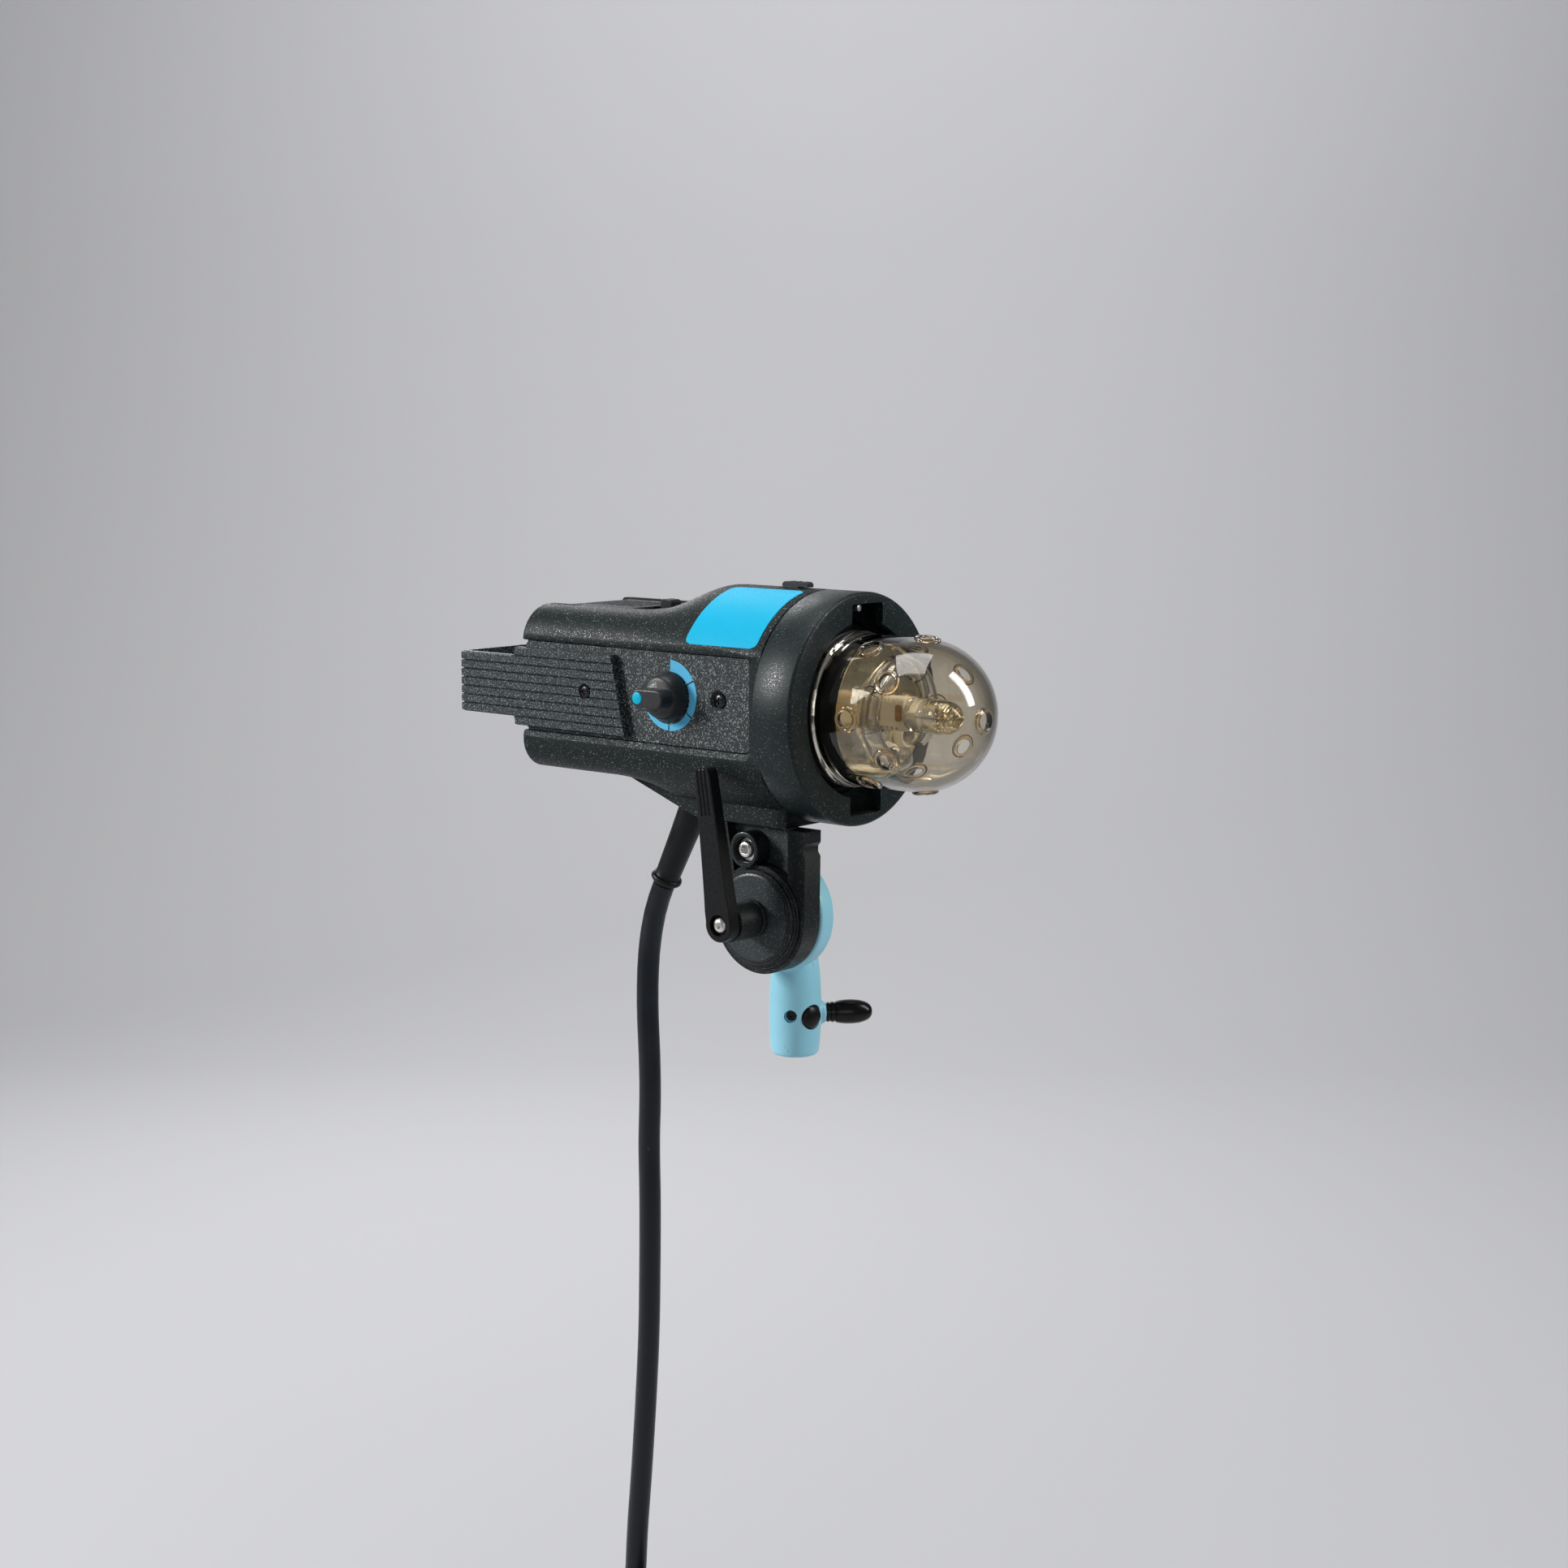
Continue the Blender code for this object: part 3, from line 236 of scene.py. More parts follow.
def tube_rings(path, radius, sides):
    """Rings of points round a path, turned as little as possible from one to the next."""
    path = [Vector(p) for p in path]
    last = len(path) - 1
    tangents = [(path[min(i + 1, last)] - path[max(i - 1, 0)]).normalized() for i in range(last + 1)]
    side = tangents[0].orthogonal().normalized()
    sections = []
    for centre, tangent in zip(path, tangents):
        side = (side - tangent * side.dot(tangent)).normalized()
        other = tangent.cross(side)
        sections.append([centre + side * u + other * v for u, v in on_circle(sides, radius)])
    return sections


def swept(name, path, radius, finish=None, sides=14):
    """A round bar along a path."""
    return loft(name, tube_rings(path, radius, sides), finish)


def glass_tube(name, path, outer, inner, finish, sides=18):
    """A tube with a wall, open inside and closed at its ends by the wall's rim."""
    rings = tube_rings(path, outer, sides) + tube_rings(path, inner, sides)[::-1]
    return loft(name, rings, finish, closed=True)


def boolean(target, tools, operation="DIFFERENCE"):
    """Cut or join with all the tools at once."""
    group = bpy.data.collections.new(f"{target.name}_{operation.lower()}")
    for tool in tools:
        group.objects.link(tool)
    step = target.modifiers.new(group.name, "BOOLEAN")
    step.operation = operation
    step.solver = "EXACT"
    step.operand_type = "COLLECTION"
    step.collection = group


def soften(target, width, segments=3, limit_deg=35.0):
    """Round a piece's hard edges."""
    bevel = target.modifiers.new("edges", "BEVEL")
    bevel.width = width * MM
    bevel.segments = segments
    bevel.limit_method = "ANGLE"
    bevel.angle_limit = math.radians(limit_deg)
    bevel.harden_normals = True


def smooth_through(points, step):
    """Points about a step apart on a smooth curve through the given ones (centripetal Catmull-Rom)."""
    knots = [Vector(p) for p in points]
    knots = [knots[0] * 2 - knots[1], *knots, knots[-1] * 2 - knots[-2]]
    out = []
    for a, b, c, d in zip(knots, knots[1:], knots[2:], knots[3:]):
        count = max(1, round((c - b).length / step))
        t0 = 0.0
        t1 = t0 + (b - a).length ** 0.5
        t2 = t1 + (c - b).length ** 0.5
        t3 = t2 + (d - c).length ** 0.5
        for i in range(count):
            t = t1 + (t2 - t1) * i / count
            p = a * ((t1 - t) / (t1 - t0)) + b * ((t - t0) / (t1 - t0))
            q = b * ((t2 - t) / (t2 - t1)) + c * ((t - t1) / (t2 - t1))
            r = c * ((t3 - t) / (t3 - t2)) + d * ((t - t2) / (t3 - t2))
            left = p * ((t2 - t) / (t2 - t0)) + q * ((t - t0) / (t2 - t0))
            right = q * ((t3 - t) / (t3 - t1)) + r * ((t - t1) / (t3 - t1))
            out.append(left * ((t2 - t) / (t2 - t1)) + right * ((t - t1) / (t2 - t1)))
    return [*out, knots[-2]]


def ease(low, high, x):
    """0 below low, 1 above high and an S-shaped step between them."""
    t = min(1.0, max(0.0, (x - low) / (high - low)))
    return t * t * (3 - 2 * t)


def around(angle_deg, radius, z):
    """A point at an angle about the receiver's socket."""
    angle = math.radians(angle_deg)
    return (radius * math.cos(angle), radius * math.sin(angle), z)


def outward(name, profile, spot, start, finish=None, sides=32, ring=False):
    """A profile turned about a spot's line out from the socket; a spot is an angle and a height."""
    angle, z = spot
    return turned(name, profile, around(angle, start, z), around(angle, 1, 0), finish, sides, ring)


def outward_rod(name, spot, start, end, radius, sides=32, edge=0.0):
    """A round cutter or form along a spot's line."""
    angle, z = spot
    return rod(name, around(angle, start, z), around(angle, end, z), radius, None, sides, edge)


def bake(piece, smooth_deg=35.0):
    """Turn a piece's modifiers into its mesh, and drop the forms that cut it."""
    if not piece.modifiers:
        return
    groups = [step.collection for step in piece.modifiers if step.type == "BOOLEAN"]
    state = bpy.context.evaluated_depsgraph_get()
    mesh = bpy.data.meshes.new_from_object(piece.evaluated_get(state))
    piece.modifiers.clear()
    piece.data = mesh
    if not mesh.has_custom_normals:
        mesh.shade_smooth()
        mesh.set_sharp_from_angle(angle=math.radians(smooth_deg))
    for group in groups:
        for form in list(group.objects):
            bpy.data.objects.remove(form)
        bpy.data.collections.remove(group)


def place(body, node, *pieces):
    """Ride pieces on a body; the first of them stands for the CAD node."""
    for piece in pieces:
        bake(piece)
        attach(piece, body)
    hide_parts(node)


# ---------------------------------------------------------------- materials


class Paint:
    """A Principled material being wired up from small procedural parts."""

    def __init__(self, name, colour, roughness, metallic=0.0):
        self.material = bpy.data.materials.new(name)
        self.material.use_nodes = True
        self.tree = self.material.node_tree
        self.shader = self.tree.nodes["Principled BSDF"]
        self.shader.inputs["Base Color"].default_value = (*colour, 1.0)
        self.shader.inputs["Roughness"].default_value = roughness
        self.shader.inputs["Metallic"].default_value = metallic
        self.place = self.tree.nodes.new("ShaderNodeTexCoord").outputs["Object"]
        self.height = None

    def stretched(self, scale):
        """Object coordinates stretched along the axes, for scuffs that run one way."""
        node = self.tree.nodes.new("ShaderNodeMapping")
        node.inputs["Scale"].default_value = scale
        self.tree.links.new(self.place, node.inputs["Vector"])
        return node.outputs["Vector"]

    def noise(self, scale, detail=2.0, vector=None):
        node = self.tree.nodes.new("ShaderNodeTexNoise")
        node.inputs["Scale"].default_value = scale
        node.inputs["Detail"].default_value = detail
        self.tree.links.new(vector or self.place, node.inputs["Vector"])
        return node.outputs["Fac"]

    def ramp(self, source, low, high, first=0.0, last=1.0):
        """Map source's range low to high onto first to last, clamped."""
        node = self.tree.nodes.new("ShaderNodeMapRange")
        self.tree.links.new(source, node.inputs["Value"])
        for key, value in (("From Min", low), ("From Max", high), ("To Min", first), ("To Max", last)):
            node.inputs[key].default_value = value
        return node.outputs["Result"]

    def product(self, a, b):
        node = self.tree.nodes.new("ShaderNodeMath")
        node.operation = "MULTIPLY"
        self.tree.links.new(a, node.inputs[0])
        self.tree.links.new(b, node.inputs[1])
        return node.outputs[0]

    def tint(self, share, colour):
        """Mix a colour over what the base colour is so far, by share."""
        node = self.tree.nodes.new("ShaderNodeMix")
        node.data_type = "RGBA"
        socket = self.shader.inputs["Base Color"]
        if socket.is_linked:
            self.tree.links.new(socket.links[0].from_socket, node.inputs[6])
        else:
            node.inputs[6].default_value = socket.default_value
        node.inputs[7].default_value = (*colour, 1.0)
        self.tree.links.new(share, node.inputs[0])
        self.tree.links.new(node.outputs[2], socket)

    def rough(self, source, low, high, first, last):
        self.tree.links.new(self.ramp(source, low, high, first, last), self.shader.inputs["Roughness"])

    def bump(self, source, depth_mm, strength=1.0):
        node = self.tree.nodes.new("ShaderNodeBump")
        node.inputs["Strength"].default_value = strength
        node.inputs["Distance"].default_value = depth_mm * MM
        self.tree.links.new(source, node.inputs["Height"])
        if self.height is not None:
            self.tree.links.new(self.height, node.inputs["Normal"])
        self.height = node.outputs["Normal"]
        self.tree.links.new(self.height, self.shader.inputs["Normal"])


def speckled_paint(name, colour, fleck_and_glint_colour, share, roughness, grain=1150.0, depth=0.05, gloss=0.4):
    """Textured powder coat: fine bumps, pale shiny flecks that are partly the coat's speckle and partly
    painted glints, and a few rubbed patches.
    """
    paint = Paint(name, colour, roughness)
    fine = paint.noise(grain, 1.0)
    coarse = paint.noise(grain * 0.45, 2.0)
    # Pale flecks: partly the coat's own speckle, partly painted glints that stand for light caught by the
    # texture.
    flecks_and_glints = paint.ramp(fine, 0.66 - share, 0.72 - share * 0.8, 0.0, 0.95)
    paint.tint(flecks_and_glints, fleck_and_glint_colour)
    broad = paint.noise(28.0, 3.0)
    paint.tint(paint.ramp(broad, 0.35, 0.75, 0.0, 0.15), tuple(c * 1.7 + 0.003 for c in colour))
    worn = paint.product(paint.ramp(paint.noise(60.0, 5.0), 0.66, 0.72), paint.ramp(fine, 0.4, 0.6))
    patches = paint.product(worn, paint.ramp(broad, 0.5, 0.7, 0.0, 0.5))
    paint.tint(patches, tuple(c * 0.5 + 0.1 for c in fleck_and_glint_colour))
    paint.rough(fine, 0.5, 0.7, roughness + 0.08, roughness - 0.2)
    paint.shader.inputs["Specular IOR Level"].default_value = gloss
    paint.bump(fine, depth)
    paint.bump(coarse, depth * 1.2, 0.6)
    return paint.material


def moulded_plastic(name, colour, roughness, grain=2600.0, depth=0.012):
    """Plain moulded plastic: a light grain, handling marks and dust."""
    paint = Paint(name, colour, roughness)
    fine = paint.noise(grain, 2.0)
    broad = paint.noise(45.0, 4.0)
    paint.tint(paint.ramp(broad, 0.5, 0.8, 0.0, 0.25), tuple(c * 1.8 + 0.004 for c in colour))
    dust = paint.ramp(paint.noise(700.0, 3.0), 0.69, 0.75, 0.0, 0.22)
    paint.tint(paint.product(dust, paint.ramp(broad, 0.45, 0.6)), (0.32, 0.33, 0.34))
    paint.rough(broad, 0.3, 0.75, roughness - 0.08, roughness + 0.16)
    paint.shader.inputs["Specular IOR Level"].default_value = 0.26
    paint.bump(fine, depth)
    return paint.material


def bare_metal(name, colour, roughness, grain=900.0, depth=0.006):
    """Machined or plated metal with a fine grain and smudges."""
    paint = Paint(name, colour, roughness, 1.0)
    fine = paint.noise(grain, 2.0)
    broad = paint.noise(60.0, 4.0)
    paint.tint(paint.ramp(broad, 0.45, 0.8, 0.0, 0.35), tuple(c * 0.55 for c in colour))
    paint.rough(fine, 0.3, 0.7, max(0.05, roughness - 0.07), roughness + 0.12)
    paint.bump(fine, depth)
    return paint.material


def lamp_through(paint, tint):
    """Let lamps light what is inside the glass: shadow rays meet a clear, tinted surface."""
    tree = paint.tree
    clear = tree.nodes.new("ShaderNodeBsdfTransparent")
    clear.inputs["Color"].default_value = (*tint, 1.0)
    mix = tree.nodes.new("ShaderNodeMixShader")
    rays = tree.nodes.new("ShaderNodeLightPath")
    tree.links.new(rays.outputs["Is Shadow Ray"], mix.inputs["Fac"])
    tree.links.new(paint.shader.outputs["BSDF"], mix.inputs[1])
    tree.links.new(clear.outputs["BSDF"], mix.inputs[2])
    tree.links.new(mix.outputs["Shader"], tree.nodes["Material Output"].inputs["Surface"])


def glass(name, colour, tint, ior=1.46, coat=0.0, waves=0.0, edge=None):
    """Clear or tinted glass; edge is a deeper colour where it is seen at a flat angle: the thick glass's
    own tint on tinted glass, painted shade on clear glass.
    """
    paint = Paint(name, colour, 0.015)
    paint.shader.inputs["Transmission Weight"].default_value = 1.0
    paint.shader.inputs["IOR"].default_value = ior
    paint.shader.inputs["Coat Weight"].default_value = coat
    paint.shader.inputs["Coat Roughness"].default_value = 0.02
    if edge:
        facing = paint.tree.nodes.new("ShaderNodeLayerWeight")
        facing.inputs["Blend"].default_value = 0.5
        paint.tint(paint.ramp(facing.outputs["Facing"], 0.25, 0.95), edge)
    if waves:
        paint.bump(paint.noise(55.0, 2.0), waves)
    lamp_through(paint, tint)
    return paint.material


def satin_blue():
    """The receiver's thick sky-blue paint: orange peel, faint scuffs and darker handling marks."""
    paint = Paint("receiver_paint", (0.3, 0.66, 0.8), 0.3)
    broad = paint.noise(40.0, 4.0)
    paint.tint(paint.ramp(broad, 0.4, 0.75, 0.0, 0.3), (0.36, 0.72, 0.84))
    scuff = paint.ramp(paint.noise(420.0, 4.0, paint.stretched((1.0, 1.0, 0.25))), 0.69, 0.75, 0.0, 0.5)
    paint.tint(paint.product(scuff, paint.ramp(broad, 0.4, 0.6)), (0.08, 0.26, 0.36))
    paint.rough(broad, 0.3, 0.7, 0.26, 0.44)
    paint.bump(paint.noise(500.0, 2.0), 0.02, 0.6)
    return paint.material


def printed_blue(name, colour, roughness):
    """Printed film or ink, a little uneven in colour and gloss."""
    paint = Paint(name, colour, roughness)
    broad = paint.noise(90.0, 3.0)
    paint.tint(paint.ramp(broad, 0.4, 0.8, 0.0, 0.25), tuple(min(1.0, c * 1.15) for c in colour))
    paint.rough(paint.noise(600.0, 3.0), 0.35, 0.7, roughness - 0.08, roughness + 0.12)
    paint.shader.inputs["Specular IOR Level"].default_value = 0.22
    paint.bump(paint.noise(1300.0, 1.0), 0.01, 0.5)
    return paint.material


def cable_rubber():
    """Thick rubber sheath: matte with a soft sheen, faint ripples and chalky scuffs."""
    paint = Paint("cable_sheath", (0.003, 0.005, 0.009), 0.36)
    broad = paint.noise(70.0, 4.0)
    paint.tint(paint.ramp(broad, 0.45, 0.8, 0.0, 0.5), (0.008, 0.012, 0.02))
    scuff = paint.ramp(paint.noise(500.0, 4.0, paint.stretched((1.0, 1.0, 0.3))), 0.66, 0.74, 0.0, 0.35)
    paint.tint(paint.product(scuff, paint.ramp(broad, 0.45, 0.65)), (0.14, 0.16, 0.19))
    paint.rough(broad, 0.3, 0.7, 0.28, 0.44)
    paint.shader.inputs["Specular IOR Level"].default_value = 0.38
    paint.bump(paint.noise(160.0, 2.0), 0.25, 0.5)
    paint.bump(paint.noise(1800.0, 2.0), 0.02, 0.6)
    return paint.material


def woven_tie():
    """The black weave of the band round the coil."""
    paint = Paint("tie_weave", (0.016, 0.016, 0.018), 0.85)
    weave = paint.tree.nodes.new("ShaderNodeTexWave")
    weave.inputs["Scale"].default_value = 320.0
    weave.inputs["Distortion"].default_value = 3.0
    paint.tree.links.new(paint.place, weave.inputs["Vector"])
    paint.tint(paint.ramp(weave.outputs["Fac"], 0.4, 0.9, 0.0, 0.6), (0.05, 0.05, 0.055))
    paint.bump(weave.outputs["Fac"], 0.25)
    return paint.material


HOUSING = speckled_paint(
    "housing_paint", (0.0042, 0.0088, 0.0094), (0.25, 0.29, 0.3), 0.0, 0.5, grain=1250.0, gloss=0.22
)
COLLAR = speckled_paint(
    "collar_paint", (0.0055, 0.011, 0.012), (0.16, 0.19, 0.2), -0.005, 0.4,
    grain=1350.0, depth=0.04, gloss=0.25
)
PANEL = speckled_paint(
    "panel_paint", (0.017, 0.022, 0.024), (0.3, 0.33, 0.335), 0.078, 0.46,
    grain=1250.0, depth=0.06, gloss=0.32
)
STRAP = speckled_paint(
    "strap_rubber", (0.012, 0.018, 0.0205), (0.29, 0.34, 0.355), 0.075, 0.48, grain=1250.0, gloss=0.32
)
BRACKET = speckled_paint(
    "bracket_paint", (0.004, 0.0065, 0.007), (0.12, 0.14, 0.145), 0.03, 0.36,
    grain=1500.0, depth=0.035, gloss=0.35
)
# A paler paint for the lit faces of the bracket: painted light.
PAINTED_LIGHT_FACE = speckled_paint(
    "bracket_face_paint", (0.02, 0.027, 0.029), (0.17, 0.2, 0.21), 0.04, 0.42, grain=1400.0
)
LEVER = speckled_paint(
    "lever_moulding", (0.0035, 0.004, 0.0045), (0.04, 0.045, 0.05), -0.02, 0.38,
    grain=1700.0, depth=0.02, gloss=0.25
)
PLASTIC = moulded_plastic("black_moulding", (0.007, 0.008, 0.009), 0.36)
GRIP = moulded_plastic("grip_moulding", (0.004, 0.0042, 0.0045), 0.24, 900.0, 0.008)
KNOB = speckled_paint(
    "knob_moulding", (0.011, 0.0125, 0.0135), (0.1, 0.11, 0.115), 0.02, 0.4, grain=1900.0, depth=0.03
)
BLUE = satin_blue()
PRINT = printed_blue("scale_print", (0.1, 0.48, 0.76), 0.5)
DOT = printed_blue("dot_paint", (0.0, 0.42, 0.62), 0.4)
STICKER = printed_blue("side_label_film", (0.0, 0.41, 0.66), 0.5)
DARK_SCREW = bare_metal("blackened_screw", (0.045, 0.045, 0.048), 0.28)
SILVER = bare_metal("plated_screw", (0.8, 0.79, 0.76), 0.3)
STEEL = bare_metal("bright_steel", (0.5, 0.5, 0.5), 0.28)
BRASS = bare_metal("brass_washer", (0.62, 0.47, 0.24), 0.3)
PLATE = bare_metal("reflector_metal", (1.0, 0.92, 0.73), 0.13, grain=1500.0, depth=0.0004)
FILAMENT = bare_metal("filament_metal", (1.0, 0.88, 0.6), 0.16)
SMOKED = glass(
    "smoked_glass", (0.78, 0.735, 0.64), (0.97, 0.95, 0.89),
    ior=1.45, coat=0.3, waves=0.02, edge=(0.012, 0.009, 0.005)
)
AMBER = glass(
    "amber_rim", (0.78, 0.6, 0.36), (0.9, 0.82, 0.7), ior=1.5, coat=1.0, edge=(0.1, 0.035, 0.006)
)
# On the clear glass the near-black edge is painted shade, standing for the dark lines seen along the
# glass's edges.
CLEAR = glass(
    "clear_glass", (0.99, 0.985, 0.97), (0.98, 0.975, 0.96),
    ior=1.56, coat=1.0, waves=0.01, edge=(0.015, 0.012, 0.008)
)
CERAMIC = moulded_plastic("lamp_ceramic", (0.62, 0.56, 0.46), 0.5, 1500.0, 0.02)
COPPER = bare_metal("warm_metal", (0.42, 0.24, 0.11), 0.3)
BOARD = moulded_plastic("circuit_board", (0.02, 0.13, 0.07), 0.45)
BOOT = moulded_plastic("boot_rubber", (0.004, 0.0045, 0.005), 0.36, 1500.0, 0.02)
RUBBER = cable_rubber()
TIE = woven_tie()

DOME_CLIPS = ("dome_clip_1", "dome_clip_2", "dome_clip_3")
CAD_FINISHES = {
    PLASTIC: ("trigger_transformer", "fan_frame", "fan_rotor"),
    STEEL: ("heat_shield", "knob_shaft", "potentiometer", "clamp_screw", "pivot_bolt", *DOME_CLIPS),
    BRASS: ("friction_washer",),
    BOARD: ("trigger_board",),
    CERAMIC: ("terminal_block",),
}


def finish_cad_nodes():
    """Give the CAD nodes that stay in view their detailed materials."""
    for material, names in CAD_FINISHES.items():
        for name in names:
            node = bpy.data.objects[name]
            for slot in node.material_slots:
                slot.material = material


# ---------------------------------------------------------------- camera, light and floor

CAMERA_AT = (0.9040, -1.1156, 0.3656)
CAMERA_AZIMUTH = 39.309
CAMERA_ELEVATION = 8.308
CAMERA_ROLL = 0.351
CAMERA_LENS = 58.89
SENSOR_WIDTH = 36.0


def make_camera():
    """The view from the camera's place, turned by its roll."""
    azimuth, elevation, roll = (math.radians(a) for a in (CAMERA_AZIMUTH, CAMERA_ELEVATION, CAMERA_ROLL))
    back = Vector((math.sin(azimuth) * math.cos(elevation), -math.cos(azimuth) * math.cos(elevation),
                   math.sin(elevation)))
    level = Vector((math.cos(azimuth), math.sin(azimuth), 0.0))
    up = back.cross(level)
    right = level * math.cos(roll) + up * math.sin(roll)
    up = back.cross(right)
    camera = bpy.data.objects.new("camera", bpy.data.cameras.new("camera"))
    bpy.context.scene.collection.objects.link(camera)
    camera.data.lens = CAMERA_LENS
    camera.data.sensor_width = SENSOR_WIDTH
    camera.data.clip_end = 50.0
    camera.matrix_world = Matrix.Translation(CAMERA_AT) @ Matrix((right, up, back)).transposed().to_4x4()
    bpy.context.scene.camera = camera


def area_light(name, at, aim, size, power, colour=(1.0, 1.0, 1.0)):
    light = bpy.data.lights.new(name, "AREA")
    light.shape = "RECTANGLE"
    light.size, light.size_y = size
    light.energy = power
    light.color = colour
    made = bpy.data.objects.new(name, light)
    bpy.context.scene.collection.objects.link(made)
    made.location = at
    made.rotation_euler = (Vector(aim) - Vector(at)).to_track_quat("-Z", "Y").to_euler()


def make_studio():
    """A pale floor that curves up into a backdrop, a soft key from the left and a strip behind."""
    away = Vector((-math.sin(math.radians(CAMERA_AZIMUTH)), math.cos(math.radians(CAMERA_AZIMUTH)), 0.0))
    side = Vector((away.y, -away.x, 0.0))
    floor = FLOOR_LEVEL * MM
    bend, flat, half_width = 1.2, 2.0, 9.0
    profile = [(-6.0, floor), *on_circle(13, bend, (flat, floor + bend), -90, 90), (flat + bend, 7.0)]
    sides = (-half_width, half_width)
    points = [away * u + side * w + Vector((0, 0, v)) for u, v in profile for w in sides]
    faces = [(2 * k, 2 * k + 1, 2 * k + 3, 2 * k + 2) for k in range(len(profile) - 1)]
    paint = Paint("studio_paper", (0.5, 0.5, 0.515), 0.85)
    paint.rough(paint.noise(3.0, 2.0), 0.3, 0.7, 0.8, 0.9)
    paper = solid("studio_floor", [p / MM for p in points], faces, paint.material)
    area_light("key", (-1.75, -1.6, 1.1), (-0.02, 0.0, 0.18), (0.6, 0.8), 60.0)
    area_light("fill", (1.7, -1.7, 0.5), (0.0, 0.0, 0.15), (1.2, 1.2), 4.0)
    area_light("top", (-0.2, -0.1, 1.9), (0.0, 0.0, 0.1), (1.3, 1.1), 16.0)
    area_light("strip", (1.25, 0.7, 1.1), (0.05, 0.0, 0.2), (0.35, 1.3), 17.0)
    area_light("rim", (-1.6, 1.0, 0.9), (0.0, 0.0, 0.15), (0.6, 1.3), 9.0)
    area_light("paper_glow", (-0.9, 1.4, 1.6), (-1.8, 3.0, 0.3), (2.0, 2.0), 28.0)
    bpy.context.scene.view_settings.view_transform = "Standard"
    world = bpy.data.worlds.new("studio")
    world.use_nodes = True
    world.node_tree.nodes["Background"].inputs["Color"].default_value = (0.8, 0.82, 0.86, 1.0)
    world.node_tree.nodes["Background"].inputs["Strength"].default_value = 0.2
    bpy.context.scene.world = world


# ---------------------------------------------------------------- lamp cable

CABLE_ROUTE = (
    (-100.9, 86.2),
    (-104.6, 78.0),
    (-108.2, 68.0),
    (-110.9, 57.0),
    (-113.2, 42.0),
    (-114.4, 22.0),
    (-114.2, 2.0),
    (-113.0, -20.0),
    (-112.5, -45.0),
    (-113.3, -75.0),
    (-112.7, -110.0),
    (-112.9, -150.0),
    (-113.8, -195.0),
    (-116.5, -240.0),
    (-120.0, -285.0),
    (-123.6, -325.0),
    (-125.0, -349.0),
)
TAIL_ROUTE = (
    (-151.0, -27.6, -412.0),
    (-154.4, -30.6, -424.0),
    (-156.4, -33.8, -437.0),
    (-157.0, -35.6, -449.0),
    (-157.0, -36.0, -460.7),
)
# Where each turn lies in the bundle: outwards from the ring's mean radius, and along Y
COIL_SLOTS = ((13.4, 0.0), (6.7, 11.6), (-6.7, 11.6), (-13.4, 0.0), (0.0, 0.0), (-6.7, -11.6), (6.7, -11.6))
COIL_START = 135.0
LEAD_IN_R = 50.0


def coil_point(progress):
    """The cable's centre at a number of degrees into the coil.

    Each turn moves on to the next slot once the turn before it has left that slot free.
    """
    turn = min(int(progress // 360.0), len(COIL_SLOTS) - 1)
    local = progress - 360.0 * turn
    old, new = COIL_SLOTS[turn], COIL_SLOTS[min(turn + 1, len(COIL_SLOTS) - 1)]
    leave = 45.0 * (len(COIL_SLOTS) - 1 - turn)
    share = ease(leave, leave + 45.0, local)
    out = old[0] + (new[0] - old[0]) * share
    y = old[1] + (new[1] - old[1]) * share
    angle = math.radians(COIL_START + progress)
    radius = COIL_RING_R + out
    return (COIL_AT[0] + radius * math.cos(angle), y, COIL_AT[1] + radius * math.sin(angle))


def cable_path():
    """The whole cable: down from the boot, round the coil and out to the plug."""
    drop = [(x, 0.0, z) for x, z in CABLE_ROUTE]
    x, z = CABLE_ROUTE[-1]
    lead = [(u, 0.0, v) for u, v in on_circle(5, LEAD_IN_R, (x - LEAD_IN_R, z), 0, -45)]
    turns = [coil_point(10.0 * k) for k in range(1, 36 * len(COIL_SLOTS) + 1)]
    wound = [Vector(p) for p in lead[1:] + turns]
    tail = smooth_through((turns[-1], *TAIL_ROUTE), 7.0)
    return smooth_through(drop, 9.0) + wound + tail[1:]


def path_length(path):
    return sum((b - a).length for a, b in zip(path, path[1:]))


def plug_pieces():
    """The heavy round lamp plug with its knurled locking ring and pin insert."""
    profile = [(0, 6.3), (0, 7.6), (1.5, 8.2), (14, 10.0), (17, 12.4), (18.5, 14.0), (29, 14.0),
               (29.4, 13.2), (52.8, 13.2), (58.5, 14.0), (59.4, 13.6), (60, 12.8), (60, 11.4), (52, 11.2),
               (52, 6.3)]
    body = turned("lamp_plug_shell", profile, PLUG_AT, (0, 0, -1), PLASTIC, 48, ring=True)
    sides, tooth, bore = 72, 0.55, 14.15
    levels = ((29.9, 14.4, 0.0), (30.6, 15.4, 0.0), (31.6, 15.9, tooth), (50.4, 15.9, tooth),
              (51.4, 15.4, 0.0), (52.1, 14.4, 0.0), (52.1, bore, 0.0), (29.9, bore, 0.0))
    rings = []
    for depth, radius, cut in levels:
        high = on_circle(sides, radius, PLUG_AT[:2])
        low = on_circle(sides, radius - cut, PLUG_AT[:2])
        rings.append([(*(low if i % 2 else high)[i], PLUG_AT[2] - depth) for i in range(sides)])
    ring = loft("plug_lock_collar", rings, STEEL, 20.0, closed=True)
    x, y, z = PLUG_AT
    insert = rod("plug_insert", (x, y, z - 51.6), (x, y, z - 53.0), 11.0, CERAMIC, 32, 0.3)
    pins = []
    for k, (u, v) in enumerate(on_circle(7, 7.2, (x, y))):
        start, end = (u, v, z - 52.6), (u, v, z - 59.0)
        pins.append(rod(f"plug_pin_{k + 1}", start, end, 1.1, BRASS, 16, 0.4))
    return body, ring, insert, pins


